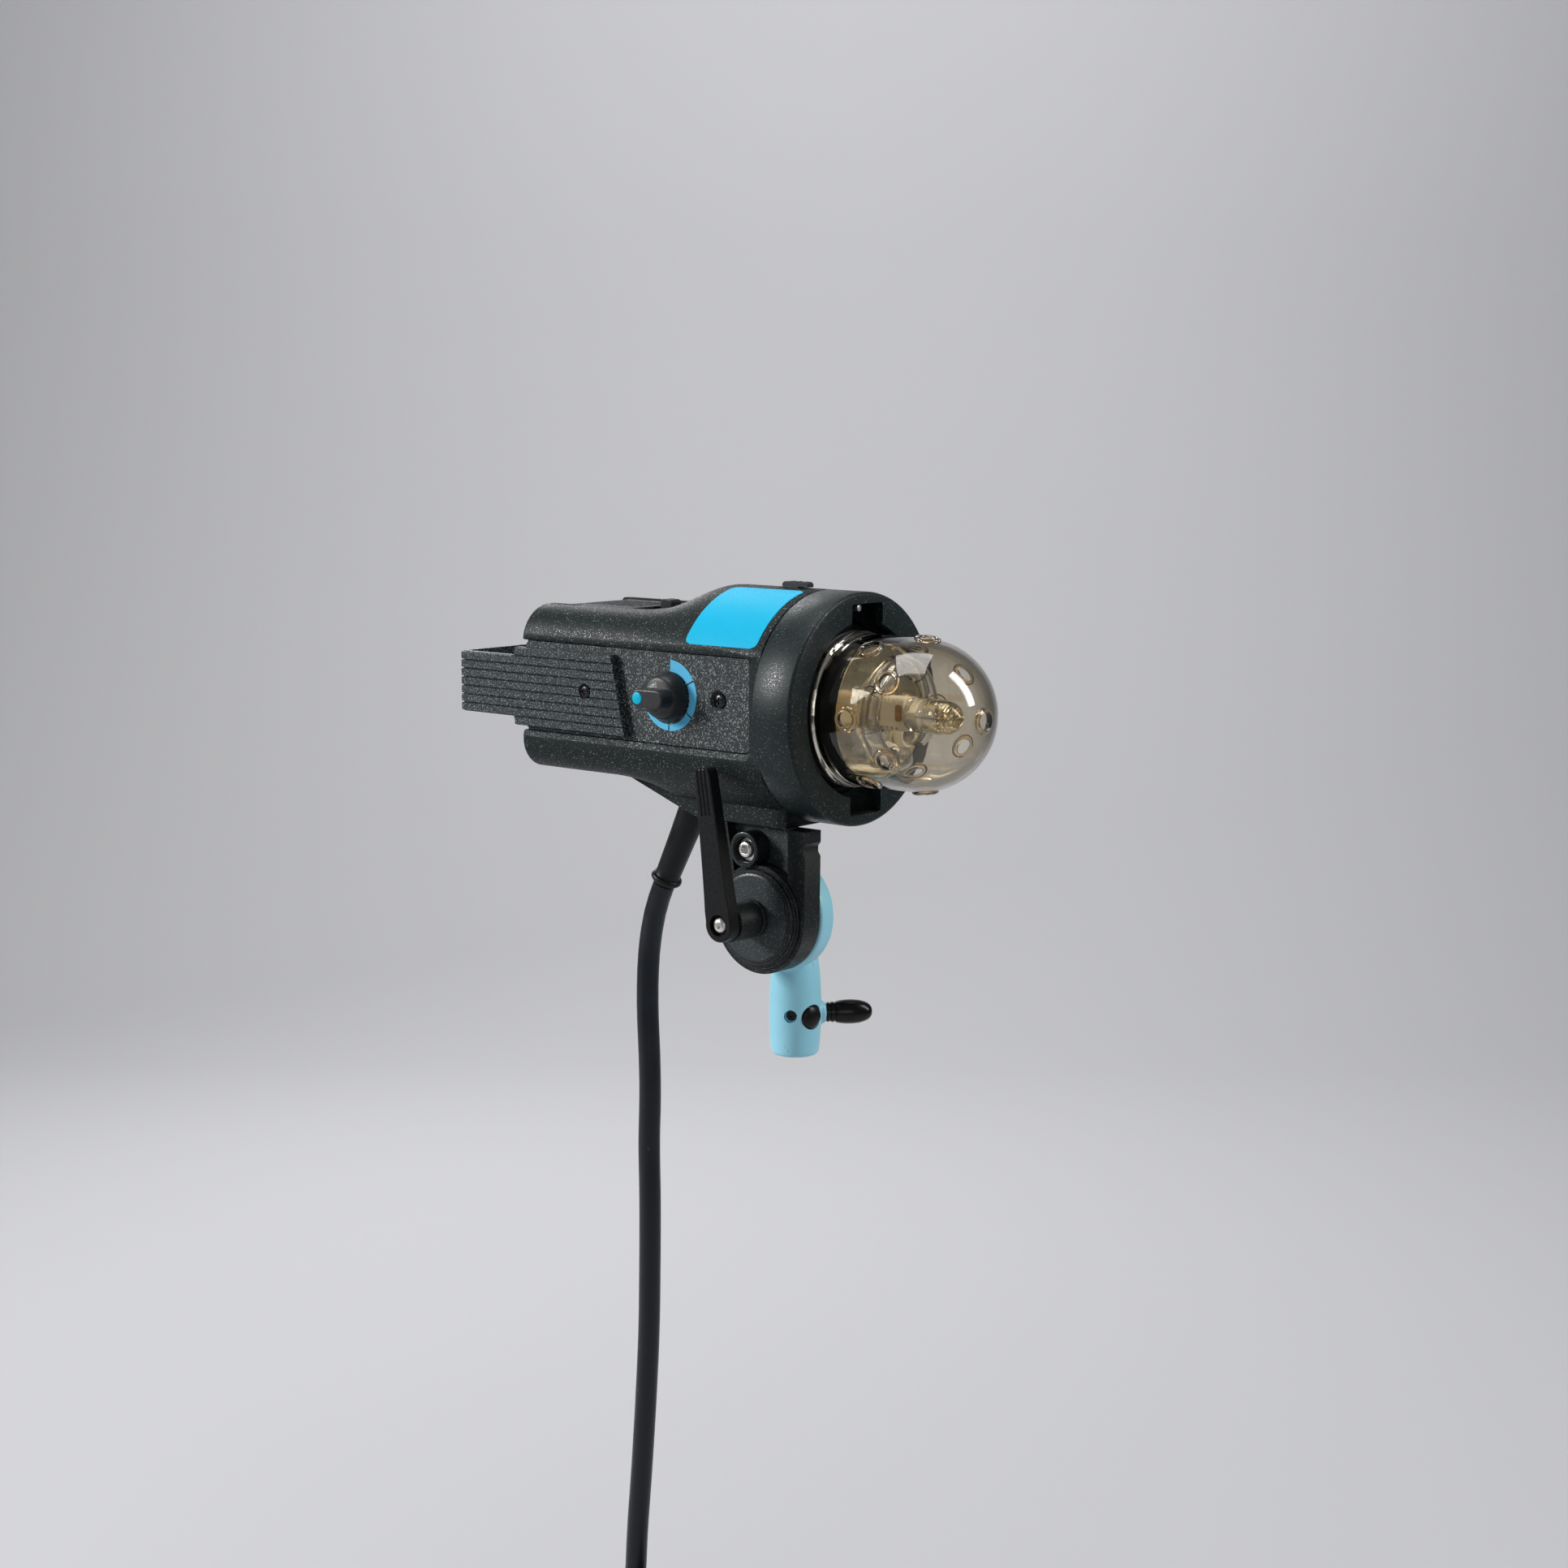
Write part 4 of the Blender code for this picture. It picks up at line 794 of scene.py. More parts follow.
def tie_piece():
    """The woven band round the coil, close to its top."""
    angle = math.radians(100)
    at = (COIL_AT[0] + COIL_RING_R * math.cos(angle), 0, COIL_AT[1] + COIL_RING_R * math.sin(angle))
    near = COIL_BUNDLE_R + 0.8
    profile = [(-7.0, near), (-7.2, near + 0.7), (-6.8, near + 1.6), (6.8, near + 1.6), (7.2, near + 0.7),
               (7.0, near)]
    return turned("coil_tie_band", profile, at, (-math.sin(angle), 0, math.cos(angle)), TIE, 48, ring=True)


def make_cable():
    """The cable as one cord with its plug and tie; its drop between the head and the receiver is a fixed
    shape.
    """
    path = cable_path()
    tube = swept("lamp_cable_sheath", path, CABLE_R, RUBBER, 24)
    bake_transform(tube)
    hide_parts("lamp_cable", "cable_coil", "cable_tail")
    body, ring, insert, pins = plug_pieces()
    place("stand_receiver", "lamp_plug", body, insert, *pins)
    place("plug_lock_ring", "plug_ring", ring)
    tie = tie_piece()
    place("stand_receiver", "coil_tie", tie)
    round(path_length(path) * MM, 3)


def strain_relief():
    """The tapered boot with a bead at its end, where the cable leaves the housing."""
    (x0, z0), (x1, z1) = STRAIN_RELIEF
    line = Vector((x1 - x0, 0, z1 - z0))
    long = line.length
    profile = [(-11, 0), (-11, 7.4), (0, 8.2), (4, 8.8), (12, 8.9), (long * 0.45, 8.3), (long - 9, 7.6),
               (long - 5.0, 7.45), (long - 4.4, 7.7), (long - 4.0, 8.7), (long - 3.2, 9.25),
               (long - 2.2, 9.4), (long - 1.2, 9.2), (long - 0.5, 8.6), (long - 0.2, 7.8), (long, 7.0),
               (long, 6.3), (long - 1.5, 6.2), (long - 1.5, 0)]
    boot = turned("cable_boot", profile, (x0, 0, z0), line, BOOT, 48)
    place("head", "strain_relief", boot)


# ---------------------------------------------------------------- housing

HOUSING_CENTRE_Z = 204.0


def box_reach(angle, inset, flank):
    """How far the rear box's rounded outline lies from the middle of the housing, at an angle."""
    direction = (math.cos(angle), math.sin(angle))
    low, high = 0.0, 120.0
    for _ in range(40):
        reach = (low + high) / 2
        y, z = direction[0] * reach, HOUSING_CENTRE_Z + direction[1] * reach
        corner = (22.0 if z > HOUSING_CENTRE_Z else 17.0) - inset * 0.5
        over_y = abs(y) - (flank - corner)
        over_z = (z - (ROOF_Z - inset - corner)) if z > HOUSING_CENTRE_Z else (FLOOR_Z + inset + corner - z)
        away = math.hypot(max(over_y, 0), max(over_z, 0)) + min(max(over_y, over_z), 0) - corner
        low, high = (reach, high) if away < 0 else (low, reach)
    return low


def drum_reach(angle, inset, flank):
    """The same for the front drum, a circle with two flats."""
    drop = AXIS_Z - HOUSING_CENTRE_Z
    radius = DRUM_R - inset
    across = math.sin(angle) * drop
    reach = across + math.sqrt(across * across + radius * radius - drop * drop)
    return min(reach, flank / max(abs(math.cos(angle)), 1e-6))


def housing_reach(x, angle, inset, flank):
    """How far the surface lies from the middle at x, where the box turns into the drum."""
    span = (-84.0, -42.0) if math.sin(angle) > 0 else (-100.0, -56.0)
    share = ease(*span, x)
    return (1 - share) * box_reach(angle, inset, flank) + share * drum_reach(angle, inset, flank)


def housing_section(x, inset, flank, count=112):
    """One ring of the housing, drawn in by the inset and cut flat at the flanks."""
    section = []
    for i in range(count):
        angle = 2 * math.pi * (i + 0.5) / count
        reach = housing_reach(x, angle, inset, flank)
        section.append((x, math.cos(angle) * reach, HOUSING_CENTRE_Z + math.sin(angle) * reach))
    return section


def housing_shell():
    """The casting with its keel, hollow, panel recesses and vents."""
    rim = ((REAR_X, 2.4), (REAR_X + 0.3, 1.4), (REAR_X + 0.9, 0.6), (REAR_X + 2.0, 0.1),
           (REAR_X + 3.0, 0.0))
    stations = [-150.0, -130.0, -110.0] + [-104.0 + 3.5 * k for k in range(20)] + [-20.0]
    outside = [housing_section(x, inset, FLANK_Y - inset) for x, inset in rim]
    outside += [housing_section(x, 0.0, FLANK_Y) for x in stations]
    seam = SEAM_X - GAP
    lip = ((seam - 0.8, 0.0), (seam - 0.2, 0.25), (seam, 0.8))
    outside += [housing_section(x, inset, FLANK_Y) for x, inset in lip]
    shell = loft("housing_shell", outside, HOUSING)
    keel_outline = [(-106.0, 162.0), (-101.0, 155.6), (-98.0, 154.4), (-50.0, 137.0), (-46.0, 136.0),
                    (seam - 1.0, 136.0), (seam - 0.5, 136.5), (seam - 0.5, 162.0)]
    keel = prism("keel_form", keel_outline, "y", -33.0, 33.0)
    soften(keel, 3.0, 4)
    boolean(shell, [keel], "UNION")
    boolean(shell, housing_cutters())
    soften(shell, 0.5, 2, 42.0)
    bake(shell)
    # The second material, the paler panel paint, is painted light on the recess walls.
    shell.data.materials.append(PANEL)
    paint_recess_walls_lit(shell)
    return shell


def paint_recess_walls_lit(shell):
    """Give the sloping edges of the panel recesses the panel's paler paint, the shell's second material:
    painted light, standing for the light that the upward-facing lower ledge catches.
    """
    front, floor = PANEL_FRONT_X + 2.5, PANEL_Y - 2.5
    low, high = PANEL_Z[0] - 3.6, PANEL_Z[1] + 2.0
    for face in shell.data.polygons:
        x, y, z = Vector(face.center) / MM
        if x < front and floor < abs(y) < FLANK_Y - 0.15 and low < z < high:
            face.material_index = 1


def housing_cutters():
    """The forms taken out of the housing."""
    inner_flank = FLANK_Y - 8.5
    stations = (REAR_X - 5, -130.0, -104.0, -92.0, -84.0, -76.0, -68.0, -60.0, -52.0, -42.0, -10.0,
                SEAM_X + 5)
    tools = [loft("hollow_form", [housing_section(x, WALL, inner_flank, 40) for x in stations])]
    for side in (-1, 1):
        depths = ((PANEL_Y - 2.0 - GAP, 0.0), (PANEL_Y + 0.4, 0.0), (PANEL_Y + 1.2, 0.5),
                  (FLANK_Y + 0.2, 3.4), (75.0, 3.4))
        sections = []
        for y, spread in depths:
            low = (REAR_X - 40, PANEL_Z[0] - spread)
            high = (PANEL_FRONT_X + spread * 0.5, PANEL_Z[1] + spread * 0.5)
            sections.append([(u, side * y, v) for u, v in rounded_box(low, high, 4.0)])
        tools.append(loft(f"recess_form_{side + 1}", sections))
    tools.append(prism("latch_slot_form", rounded_box((-12.0, -3.4), (8.6, 3.4), 1.5), "z", 255.0, 275.0))
    recess = rounded_box((REAR_X - 30, -31.0), (-84.0, 31.0), 6.0)
    tools.append(prism("roof_recess_form", recess, "z", ROOF_Z - 2.0, ROOF_Z + 5))
    tools.append(box("switch_slot_form", (-100.5, -5.0, 240.0), (-87.0, 5.0, 262.0)))
    for side in (-1, 1):
        for k in range(9):
            x = -157.0 + 2.6 * k
            y0, y1 = sorted((side * 32.4, side * 37.5))
            tools.append(box(f"edge_vent_form_{side + 1}_{k}", (x, y0, 249.0), (x + 1.1, y1, 256.0)))
    return tools


def rear_cover():
    """The vented plate that closes the rear."""
    section = [(y, z) for _, y, z in housing_section(REAR_X, WALL + GAP, FLANK_Y - 8.5 - GAP, 80)]
    cover = prism("rear_grille", section, "x", REAR_X + 1.5, REAR_X + 4.0, HOUSING)
    slots = []
    for row in range(7):
        z = 178 + 8 * row
        for column in range(3):
            y = -31 + 21 * column
            slot = rounded_box((y, z), (y + 19, z + 3.2), 1.5)
            slots.append(prism(f"rear_slot_{row}_{column}", slot, "x", REAR_X - 5, REAR_X + 9))
    boolean(cover, slots)
    soften(cover, 0.25, 2, 40.0)
    return cover


def side_panel(name, side):
    y0, y1 = sorted((side * PANEL_Y, side * (PANEL_Y - 2.0)))
    outline = rounded_box((REAR_X + 0.5, PANEL_Z[0] + 0.5), (PANEL_FRONT_X - 0.5, PANEL_Z[1] - 0.5), 3.6)
    panel = prism(name, outline, "y", y0, y1, PANEL)
    hole_at = (SCREW_X, 0, TRIM_Z + 1.5)
    profile = [(0, 0), (0, 5.0), (51.0, 5.0), (53.5, 6.4), (70, 6.4), (70, 0)]
    boolean(panel, [turned(f"{name}_screw_form", profile, hole_at, (0, side, 0), None, 40)])
    soften(panel, 0.3, 2)
    return panel


def scale_print():
    """The power scale printed round the knob: a band that widens from the least to the most power."""
    cx, cz = KNOB_AT[0], KNOB_AT[1] + 0.5
    radius, steps = 20.0, 16
    first, sweep = -147.0, 235.0
    narrow, widening = 2.6, 4.1
    segments = []
    spans = ((first, -93.0), (-90.0, -37.0), (-34.0, 26.0), (29.0, first + sweep))
    for k, (start, end) in enumerate(spans):
        outer, inner = [], []
        for i in range(steps + 1):
            degrees = start + (end - start) * i / steps
            near = radius - narrow - widening * (degrees - first) / sweep
            angle = math.radians(degrees)
            outer.append((cx + radius * math.cos(angle), cz + radius * math.sin(angle)))
            inner.append((cx + near * math.cos(angle), cz + near * math.sin(angle)))
        band = outer + inner[::-1]
        segments.append(prism(f"power_scale_{k + 1}", band, "y", -PANEL_Y - 0.12, -PANEL_Y + 0.2, PRINT))
    return segments


def label_piece():
    """A plain blue label on the drum's upper side, with rounded corners and nothing printed on it."""
    x0, x1, low, high, corner = -36.5, 14.8, 32.5, 80.0, 4.0
    rows, columns = 40, 30
    long = math.radians(high - low) * DRUM_R
    grid = []
    for offset in (0.32, -0.1):
        for j in range(rows + 1):
            along = long * j / rows
            edge = min(along, long - along)
            inset = corner - math.sqrt(corner**2 - (corner - edge) ** 2) if edge < corner else 0.0
            phi = math.radians(low + (high - low) * j / rows)
            out = Vector((0.0, -math.cos(phi), math.sin(phi)))
            for i in range(columns + 1):
                x = x0 + inset + (x1 - x0 - 2 * inset) * i / columns
                direction = out * DRUM_R + Vector((0, 0, AXIS_Z - HOUSING_CENTRE_Z))
                angle = math.atan2(direction.z, direction.y)
                reach = housing_reach(x, angle, 0.0, FLANK_Y)
                base = Vector((x, math.cos(angle) * reach, HOUSING_CENTRE_Z + math.sin(angle) * reach))
                grid.append(base + out * offset)
    wide, total = columns + 1, (rows + 1) * (columns + 1)
    faces = []
    for j in range(rows):
        for i in range(columns):
            a = j * wide + i
            quad = (a, a + 1, a + wide + 1, a + wide)
            faces += [quad, tuple(total + v for v in quad[::-1])]
    border = list(range(wide)) + [j * wide + columns for j in range(1, rows + 1)]
    border += [rows * wide + i for i in range(columns - 1, -1, -1)]
    border += [j * wide for j in range(rows - 1, 0, -1)]
    faces += [(a, total + a, total + b, b) for a, b in zip(border, border[1:] + border[:1])]
    return solid("side_label", grid, faces, STICKER, 50.0)


def cross_screw(name, x, y, z, side, radius):
    """A round-headed cross-slot screw whose head stands out from y on one side."""
    profile = [(GAP, 0), (GAP, radius), (0.8, radius * 0.99), (1.3, radius * 0.9), (1.8, radius * 0.66),
               (2.1, radius * 0.36), (2.2, 0)]
    screw = turned(name, profile, (x, y, z), (0, side, 0), DARK_SCREW, 40)
    y0, y1 = sorted((y + side * 1.0, y + side * 6.0))
    tools = []
    for label, wide, tall in (("a", 2.2, 0.5), ("b", 0.5, 2.2)):
        low, high = (x - wide, y0, z - tall), (x + wide, y1, z + tall)
        tools.append(box(f"{name}_cut_{label}", low, high))
    boolean(screw, tools)
    return screw


def strap_path():
    """The strap's centre line seen from above, with the way out of the strap at each point."""
    corner = 7.0
    halves = []
    for side in (-1, 1):
        along = [(-85.0, side * STRAP_Y, (0, side)), (-150.0, side * STRAP_Y, (0, side))]
        centre = (STRAP_REAR_X + corner, side * (STRAP_Y - corner))
        for i in range(9):
            angle = math.radians(90 * i / 8)
            out = (-math.sin(angle), side * math.cos(angle))
            along.append((centre[0] + corner * out[0], centre[1] + corner * out[1], out))
        halves.append(along)
    return halves[0] + halves[1][::-1]


RIBS = 9
RIB_PITCH = 5.1
STRAP_SCREW_X = -110.5
STRAP_SEAT_Y = STRAP_Y - 1.6
RIB_FORM = ((0.055, -1.4), (0.075, -0.5), (0.095, -0.16), (0.13, 0.0), (0.87, 0.0), (0.905, -0.16),
            (0.925, -0.5), (0.945, -1.4))


def strap_section(x, y, out, thickness, slanted):
    """The ribbed section at one place on the path; the ends are cut at a slant."""
    half = RIBS * RIB_PITCH / 2
    outer = [(-half, -1.4)]
    for rib in range(RIBS):
        base = -half + rib * RIB_PITCH
        outer += [(base + RIB_PITCH * share, depth) for share, depth in RIB_FORM]
    outer.append((half, -1.4))
    section = []
    for up, depth in [*outer, (half, -thickness), (-half, -thickness)]:
        lean = -0.235 * up if slanted else 0.0
        section.append((x + lean + out[0] * depth, y + out[1] * depth, TRIM_Z - 0.8 + up))
    return section


def handle_strap():
    """The ribbed strap round both sides and the rear, with the gap to hold it by."""
    path = strap_path()
    thickness = STRAP_Y - PANEL_Y - GAP
    last = len(path) - 1
    sections = [strap_section(x, y, out, thickness, k in (0, last)) for k, (x, y, out) in enumerate(path)]
    strap = loft("ribbed_strap", sections, STRAP, 28.0)
    notch = RIBS * RIB_PITCH / 2 - RIB_PITCH * 0.98
    middle = TRIM_Z - 0.8
    tools = []
    for word, low, high in (("top", middle + notch, middle + 60), ("low", middle - 60, middle - notch)):
        cut = rounded_box((STRAP_REAR_X - 40, low), (-167.0, high), 2.5)
        tools.append(prism(f"strap_{word}_form", cut, "y", -80, 80))
    for side in (-1, 1):
        start = (STRAP_SCREW_X, side * STRAP_SEAT_Y, TRIM_Z)
        end = (STRAP_SCREW_X, side * 80, TRIM_Z)
        tools.append(rod(f"strap_screw_form_{side + 1}", start, end, 4.6, None, 36))
    boolean(strap, tools)
    bake(strap, 14.0)
    return strap


def roof_vent():
    vent = box("roof_vent_cover", (-151.0, -25.0, ROOF_Z - 1.7), (-103.0, 25.0, ROOF_Z - 0.5), HOUSING)
    soften(vent, 0.4, 2)
    slots = []
    for k in range(9):
        x = -148.0 + 4.6 * k
        slots.append(prism(f"roof_slot_{k}", rounded_box((x, -18), (x + 2.2, 18), 1.0), "z", 240, 260))
    boolean(vent, slots)
    return vent


def roof_switch():
    outline = [(-100.0, ROOF_Z - 5), (-91.0, ROOF_Z - 5), (-91.0, ROOF_Z + 2.6), (-92.6, ROOF_Z + 3.6),
               (-98.2, ROOF_Z + 3.9), (-99.6, ROOF_Z + 2.4), (-100.0, ROOF_Z + 0.4)]
    switch = prism("roof_slide_switch", outline, "y", -4.3, 4.3, PLASTIC)
    soften(switch, 0.5, 3, 25.0)
    return switch


def make_housing():
    place("head", "housing_body", housing_shell(), label_piece())
    place("head", "rear_cover", rear_cover())
    place("head", "top_vent_cover", roof_vent())
    place("roof_switch", "top_switch", roof_switch())
    place("head", "side_panel_near", side_panel("near_panel", -1), *scale_print())
    place("head", "side_panel_far", side_panel("far_panel", 1))
    place("head", "handle_strap", handle_strap())
    panel_seat = PANEL_Y - 2.0 - GAP
    for word, side in (("near", -1), ("far", 1)):
        name = f"panel_cross_screw_{word}"
        screw = cross_screw(name, SCREW_X, side * panel_seat, TRIM_Z + 1.5, side, 4.1)
        place("head", f"panel_screw_{word}", screw)
        name = f"strap_cross_screw_{word}"
        screw = cross_screw(name, STRAP_SCREW_X, side * STRAP_SEAT_Y, TRIM_Z, side, 3.7)
        place("head", f"strap_screw_{word}", screw)


# ---------------------------------------------------------------- knob


def make_knob():
    """The power dial: a turned skirt with an oval bar across it and an inlaid dot."""
    x, z = KNOB_AT
    at, axis = (x, -PANEL_Y - GAP, z), (0, -1, 0)
    skirt = [(0, 0), (0, 13.6), (0.5, 14.2), (1.4, 14.3), (3.2, 13.6), (7.4, 12.4), (8.8, 11.8),
             (9.6, 10.9), (10.0, 9.6), (10.2, 0)]
    knob = turned("power_dial", skirt, at, axis, KNOB, 64)
    front = -PANEL_Y - 19.5
    right = on_circle(13, 5.3, (x + 6.2, z), -90, 180)
    left = on_circle(13, 5.3, (x - 6.2, z), 90, 180)
    bar = prism("dial_bar_form", right + left, "y", front, -PANEL_Y - 5)
    soften(bar, 1.1, 3)
    boolean(knob, [bar], "UNION")
    dot_x = x - 7.0
    boolean(knob, [rod("dial_dot_form", (dot_x, front - 5, z), (dot_x, front + 1.0, z), 3.7, None, 32)])
    soften(knob, 0.35, 2, 45.0)
    dot = rod("dial_dot", (dot_x, front + 0.9, z), (dot_x, front - 0.25, z), 3.5, DOT, 32, 0.4)
    for piece in (knob, dot):
        bake(piece)
        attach(piece, "power_knob")
    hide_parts("control_knob", "knob_dot")


# ---------------------------------------------------------------- collar and lock


def make_collar():
    """The front ring with its two notches."""
    profile = [(SEAM_X, 52.0), (SEAM_X, 63.6), (SEAM_X + 0.4, 64.6), (SEAM_X + 1.2, DRUM_R),
               (FACE_X - 1.9, DRUM_R), (FACE_X - 0.9, DRUM_R - 0.25), (FACE_X - 0.25, DRUM_R - 0.9),
               (FACE_X, DRUM_R - 1.9), (FACE_X, MOUTH_R + 1.2), (FACE_X - 0.3, MOUTH_R + 0.35),
               (FACE_X - 1.1, MOUTH_R), (FACE_X - 4.4, MOUTH_R), (FACE_X - 5.0, MOUTH_R + 0.5),
               (FACE_X - 5.0, 60.0), (SEAM_X + 5.0, 60.0), (SEAM_X + 5.0, 52.0)]
    collar = on_axis("front_ring", profile, COLLAR, 144)
    near, far = 40, PIN_R + 2.5
    tools = []
    for word, low, high in (("top", AXIS_Z + near, AXIS_Z + far), ("low", AXIS_Z - far, AXIS_Z - near)):
        notch = rounded_box((-11.0, low), (16.5, high), 1.8)
        tools.append(prism(f"notch_{word}_form", notch, "x", FACE_X - 6, FACE_X + 5))
    pin_z = AXIS_Z + PIN_R
    tools.append(rod("pin_hole_form", (SEAM_X - 5, 0, pin_z), (SEAM_X + 10, 0, pin_z), 2.4, None, 24))
    boolean(collar, tools)
    soften(collar, 0.35, 2, 50.0)
    place("head", "front_collar", collar)


def make_latch():
    outline = [(-9.5, 267.5), (-2.0, 267.5), (-2.0, 258.6), (2.0, 258.6), (2.0, 267.5), (9.0, 267.5),
               (9.0, 269.4), (7.6, 270.4), (4.0, 270.6), (3.4, 269.9), (2.0, 269.9), (1.4, 270.6),
               (-0.2, 270.6), (-0.8, 269.9), (-2.2, 269.9), (-2.8, 270.6), (-8.0, 270.4), (-9.5, 269.2)]
    latch = prism("lock_slider", outline, "y", -2.7, 2.7, KNOB)
    soften(latch, 0.3, 2, 25.0)
    place("lock_latch", "release_latch", latch)
    z = AXIS_Z + PIN_R
    pin = rod("lock_pin_bar", (2.4, 0, z), (43.5, 0, z), 2.0, SILVER, 32, 0.7)
    place("lock_latch", "lock_pin", pin)


# ---------------------------------------------------------------- lamp and dome


def make_lamp_base():
    """The stepped black carrier in the well; the three spring clips that grip the dome's rim are the CAD's
    own nodes.
    """
    profile = [(15.0, 13.0), (15.0, 36.5), (26.6, 36.5), (26.9, 47.0), (27.4, 47.5), (30.4, 47.5),
               (31.0, 47.0), (31.0, 45.0), (32.2, 44.0), (39.0, 43.2), (39.6, 42.4), (39.6, 37.6),
               (40.2, 36.6), (PLATE_X - 1.2, 36.5), (PLATE_X - 0.4, 35.8), (PLATE_X - 0.4, 13.0)]
    return on_axis("lamp_carrier", profile, PLASTIC, 96)


TUBE_RING_R = 26.5
TUBE_R = 5.5


def leg_places():
    """Where the flash tube's two legs meet the plate, across and up."""
    angles = [math.radians(a) for a in (-75, -35)]
    return [(TUBE_RING_R * math.cos(a), AXIS_Z + TUBE_RING_R * math.sin(a)) for a in angles]


def reflector_plate():
    """The champagne dish behind the flash tube, with a turned-up rim and a window round the lamp."""
    profile = [(PLATE_X, 13.0), (PLATE_X, 37.5), (PLATE_X + 0.3, 38.6), (PLATE_X + 1.6, 39.4),
               (PLATE_X + 3.4, 39.5), (PLATE_X + 3.4, 39.1), (PLATE_X + 1.8, 38.9), (PLATE_X + 1.0, 38.2),
               (PLATE_X + 0.8, 37.0), (PLATE_X + 0.8, 21.0), (PLATE_X + 2.2, 19.6), (PLATE_X + 2.4, 18.4),
               (PLATE_X + 1.2, 13.0)]
    plate = on_axis("lamp_dish", profile, PLATE, 96)
    tools = []
    for k, (y, z) in enumerate(leg_places()):
        tools.append(rod(f"leg_form_{k}", (PLATE_X - 5, y, z), (PLATE_X + 5, y, z), TUBE_R + 0.9, None, 32))
    boolean(plate, tools)
    return plate


def flash_tube():
    """The ring-shaped tube and its two legs, as one length of glass."""
    start, sweep = -20.0, 290.0
    ring = [(LAMP_X, y, AXIS_Z + z) for y, z in on_circle(61, TUBE_RING_R, (0, 0), start, sweep)]
    first, last = leg_places()[1], leg_places()[0]
    bend = [(PLATE_X + 0.4, *first), (PLATE_X + 6.5, *first), (LAMP_X - 5.5, *first),
            (LAMP_X - 1.8, *first)]
    way = bend + ring + [(x, *last) for x, *_ in bend[::-1]]
    path = smooth_through(way, 2.6)
    return glass_tube("flash_ring_tube", path, TUBE_R, TUBE_R - 1.1, CLEAR, 24)


def trigger_turns():
    """The fine ignition wire: it runs along the flash tube and loops once round it in six places."""
    path = []
    loops, reach = 6, TUBE_R + 0.35
    steps = 420
    for i in range(steps + 1):
        share = i / steps * loops
        along = math.radians(-16.0 + 282.0 * i / steps)
        wound = 2 * math.pi * (int(share) + ease(0.42, 0.58, share - int(share)))
        radius = TUBE_RING_R - reach * math.cos(wound)
        path.append((LAMP_X + reach * math.sin(wound), radius * math.cos(along),
                     AXIS_Z + radius * math.sin(along)))
    return swept("ignition_wire", path, 0.25, DARK_SCREW, 6)


def modelling_lamp():
    """The halogen capsule: a glass envelope with a ceramic-coloured pinch and a coiled filament."""
    outer = [(80.4, 0), (80.4, 8.6), (81.2, 9.3), (83.0, 9.5), (102.0, 9.5), (106.0, 8.9), (109.4, 7.0),
             (111.6, 4.4), (112.8, 1.9), (113.3, 0)]
    inner = [(84.0, 0), (84.0, 7.6), (85.4, 8.5), (102.0, 8.5), (105.5, 7.9), (108.4, 6.1), (110.6, 3.4),
             (111.4, 0)]
    envelope = on_axis("halogen_envelope", outer + inner[::-1], CLEAR, 48, ring=False)
    coil = []
    turns, steps = 11, 11 * 16
    for i in range(steps + 1):
        wound = 2 * math.pi * turns * i / steps
        coil.append((90.0 + 16.0 * i / steps, 3.4 * math.cos(wound), AXIS_Z + 3.4 * math.sin(wound)))
    filament = swept("halogen_filament", coil, 0.5, FILAMENT, 8)
    near_post = [(x, y, AXIS_Z) for x, y in ((81.0, 4.6), (88.0, 4.6), (90.0, 3.4))]
    way = ((81.0, -5.4), (104.0, -5.6), (107.6, -2.0), (106.4, 3.4))
    far_post = smooth_through([(x, y, AXIS_Z) for x, y in way], 2.5)
    posts = [
        swept("halogen_post_a", near_post, 0.5, FILAMENT, 8),
        swept("halogen_post_b", far_post, 0.5, FILAMENT, 8),
    ]
    pinch = box("halogen_pinch", (82.0, -6.4, AXIS_Z - 1.8), (88.4, 6.4, AXIS_Z + 1.8), CERAMIC)
    soften(pinch, 0.6, 2)
    posts.append(pinch)
    for k, x in enumerate((94.0, 99.0, 104.0)):
        hoop = [(x, y, z) for y, z in on_circle(25, 6.2, (0.0, AXIS_Z), 20.0, 320.0)]
        posts.append(swept(f"halogen_hoop_{k + 1}", hoop, 0.35, FILAMENT, 6))
    return envelope, filament, posts


def lamp_socket():
    """The finned lamp holder with a brass contact clip on its near side."""
    outline = rounded_box((-7.5, AXIS_Z - 9), (7.5, AXIS_Z + 9), 2.0)
    socket = prism("lamp_holder", outline, "x", PLATE_X - 6, 80.0, CERAMIC)
    fins = []
    for k in range(6):
        x = 58.5 + 3.2 * k
        for word, low, high in (("top", AXIS_Z + 6.6, AXIS_Z + 12), ("low", AXIS_Z - 12, AXIS_Z - 6.6)):
            fins.append(box(f"fin_{word}_{k}", (x, -9, low), (x + 1.6, 9, high)))
    boolean(socket, fins)
    soften(socket, 0.25, 2, 50.0)
    outline = rounded_box((74.5, AXIS_Z - 3.6), (79.0, AXIS_Z + 5.6), 1.6)
    clip = prism("holder_clip", outline, "y", -8.1, -7.3, COPPER)
    soften(clip, 0.2, 2)
    return socket, clip


VENT_RIM_R = 5.9
VENT_BEAD_R = 1.5


def vent_places():
    """Centre and outward direction of each vent hole in the dome."""
    places = []
    for x, first in ((67.5, 0), (88.0, 30)):
        for k in range(6):
            angle = math.radians(first + 60 * k)
            lean = 0.05 if x > DOME_CENTRE_X else 0.0
            way = Vector((lean, -math.cos(angle), math.sin(angle))).normalized()
            places.append((Vector((x, 0.0, AXIS_Z)), way))
    places.append((Vector((DOME_CENTRE_X, 0.0, AXIS_Z)), Vector((1.0, 0.0, 0.0))))
    return places


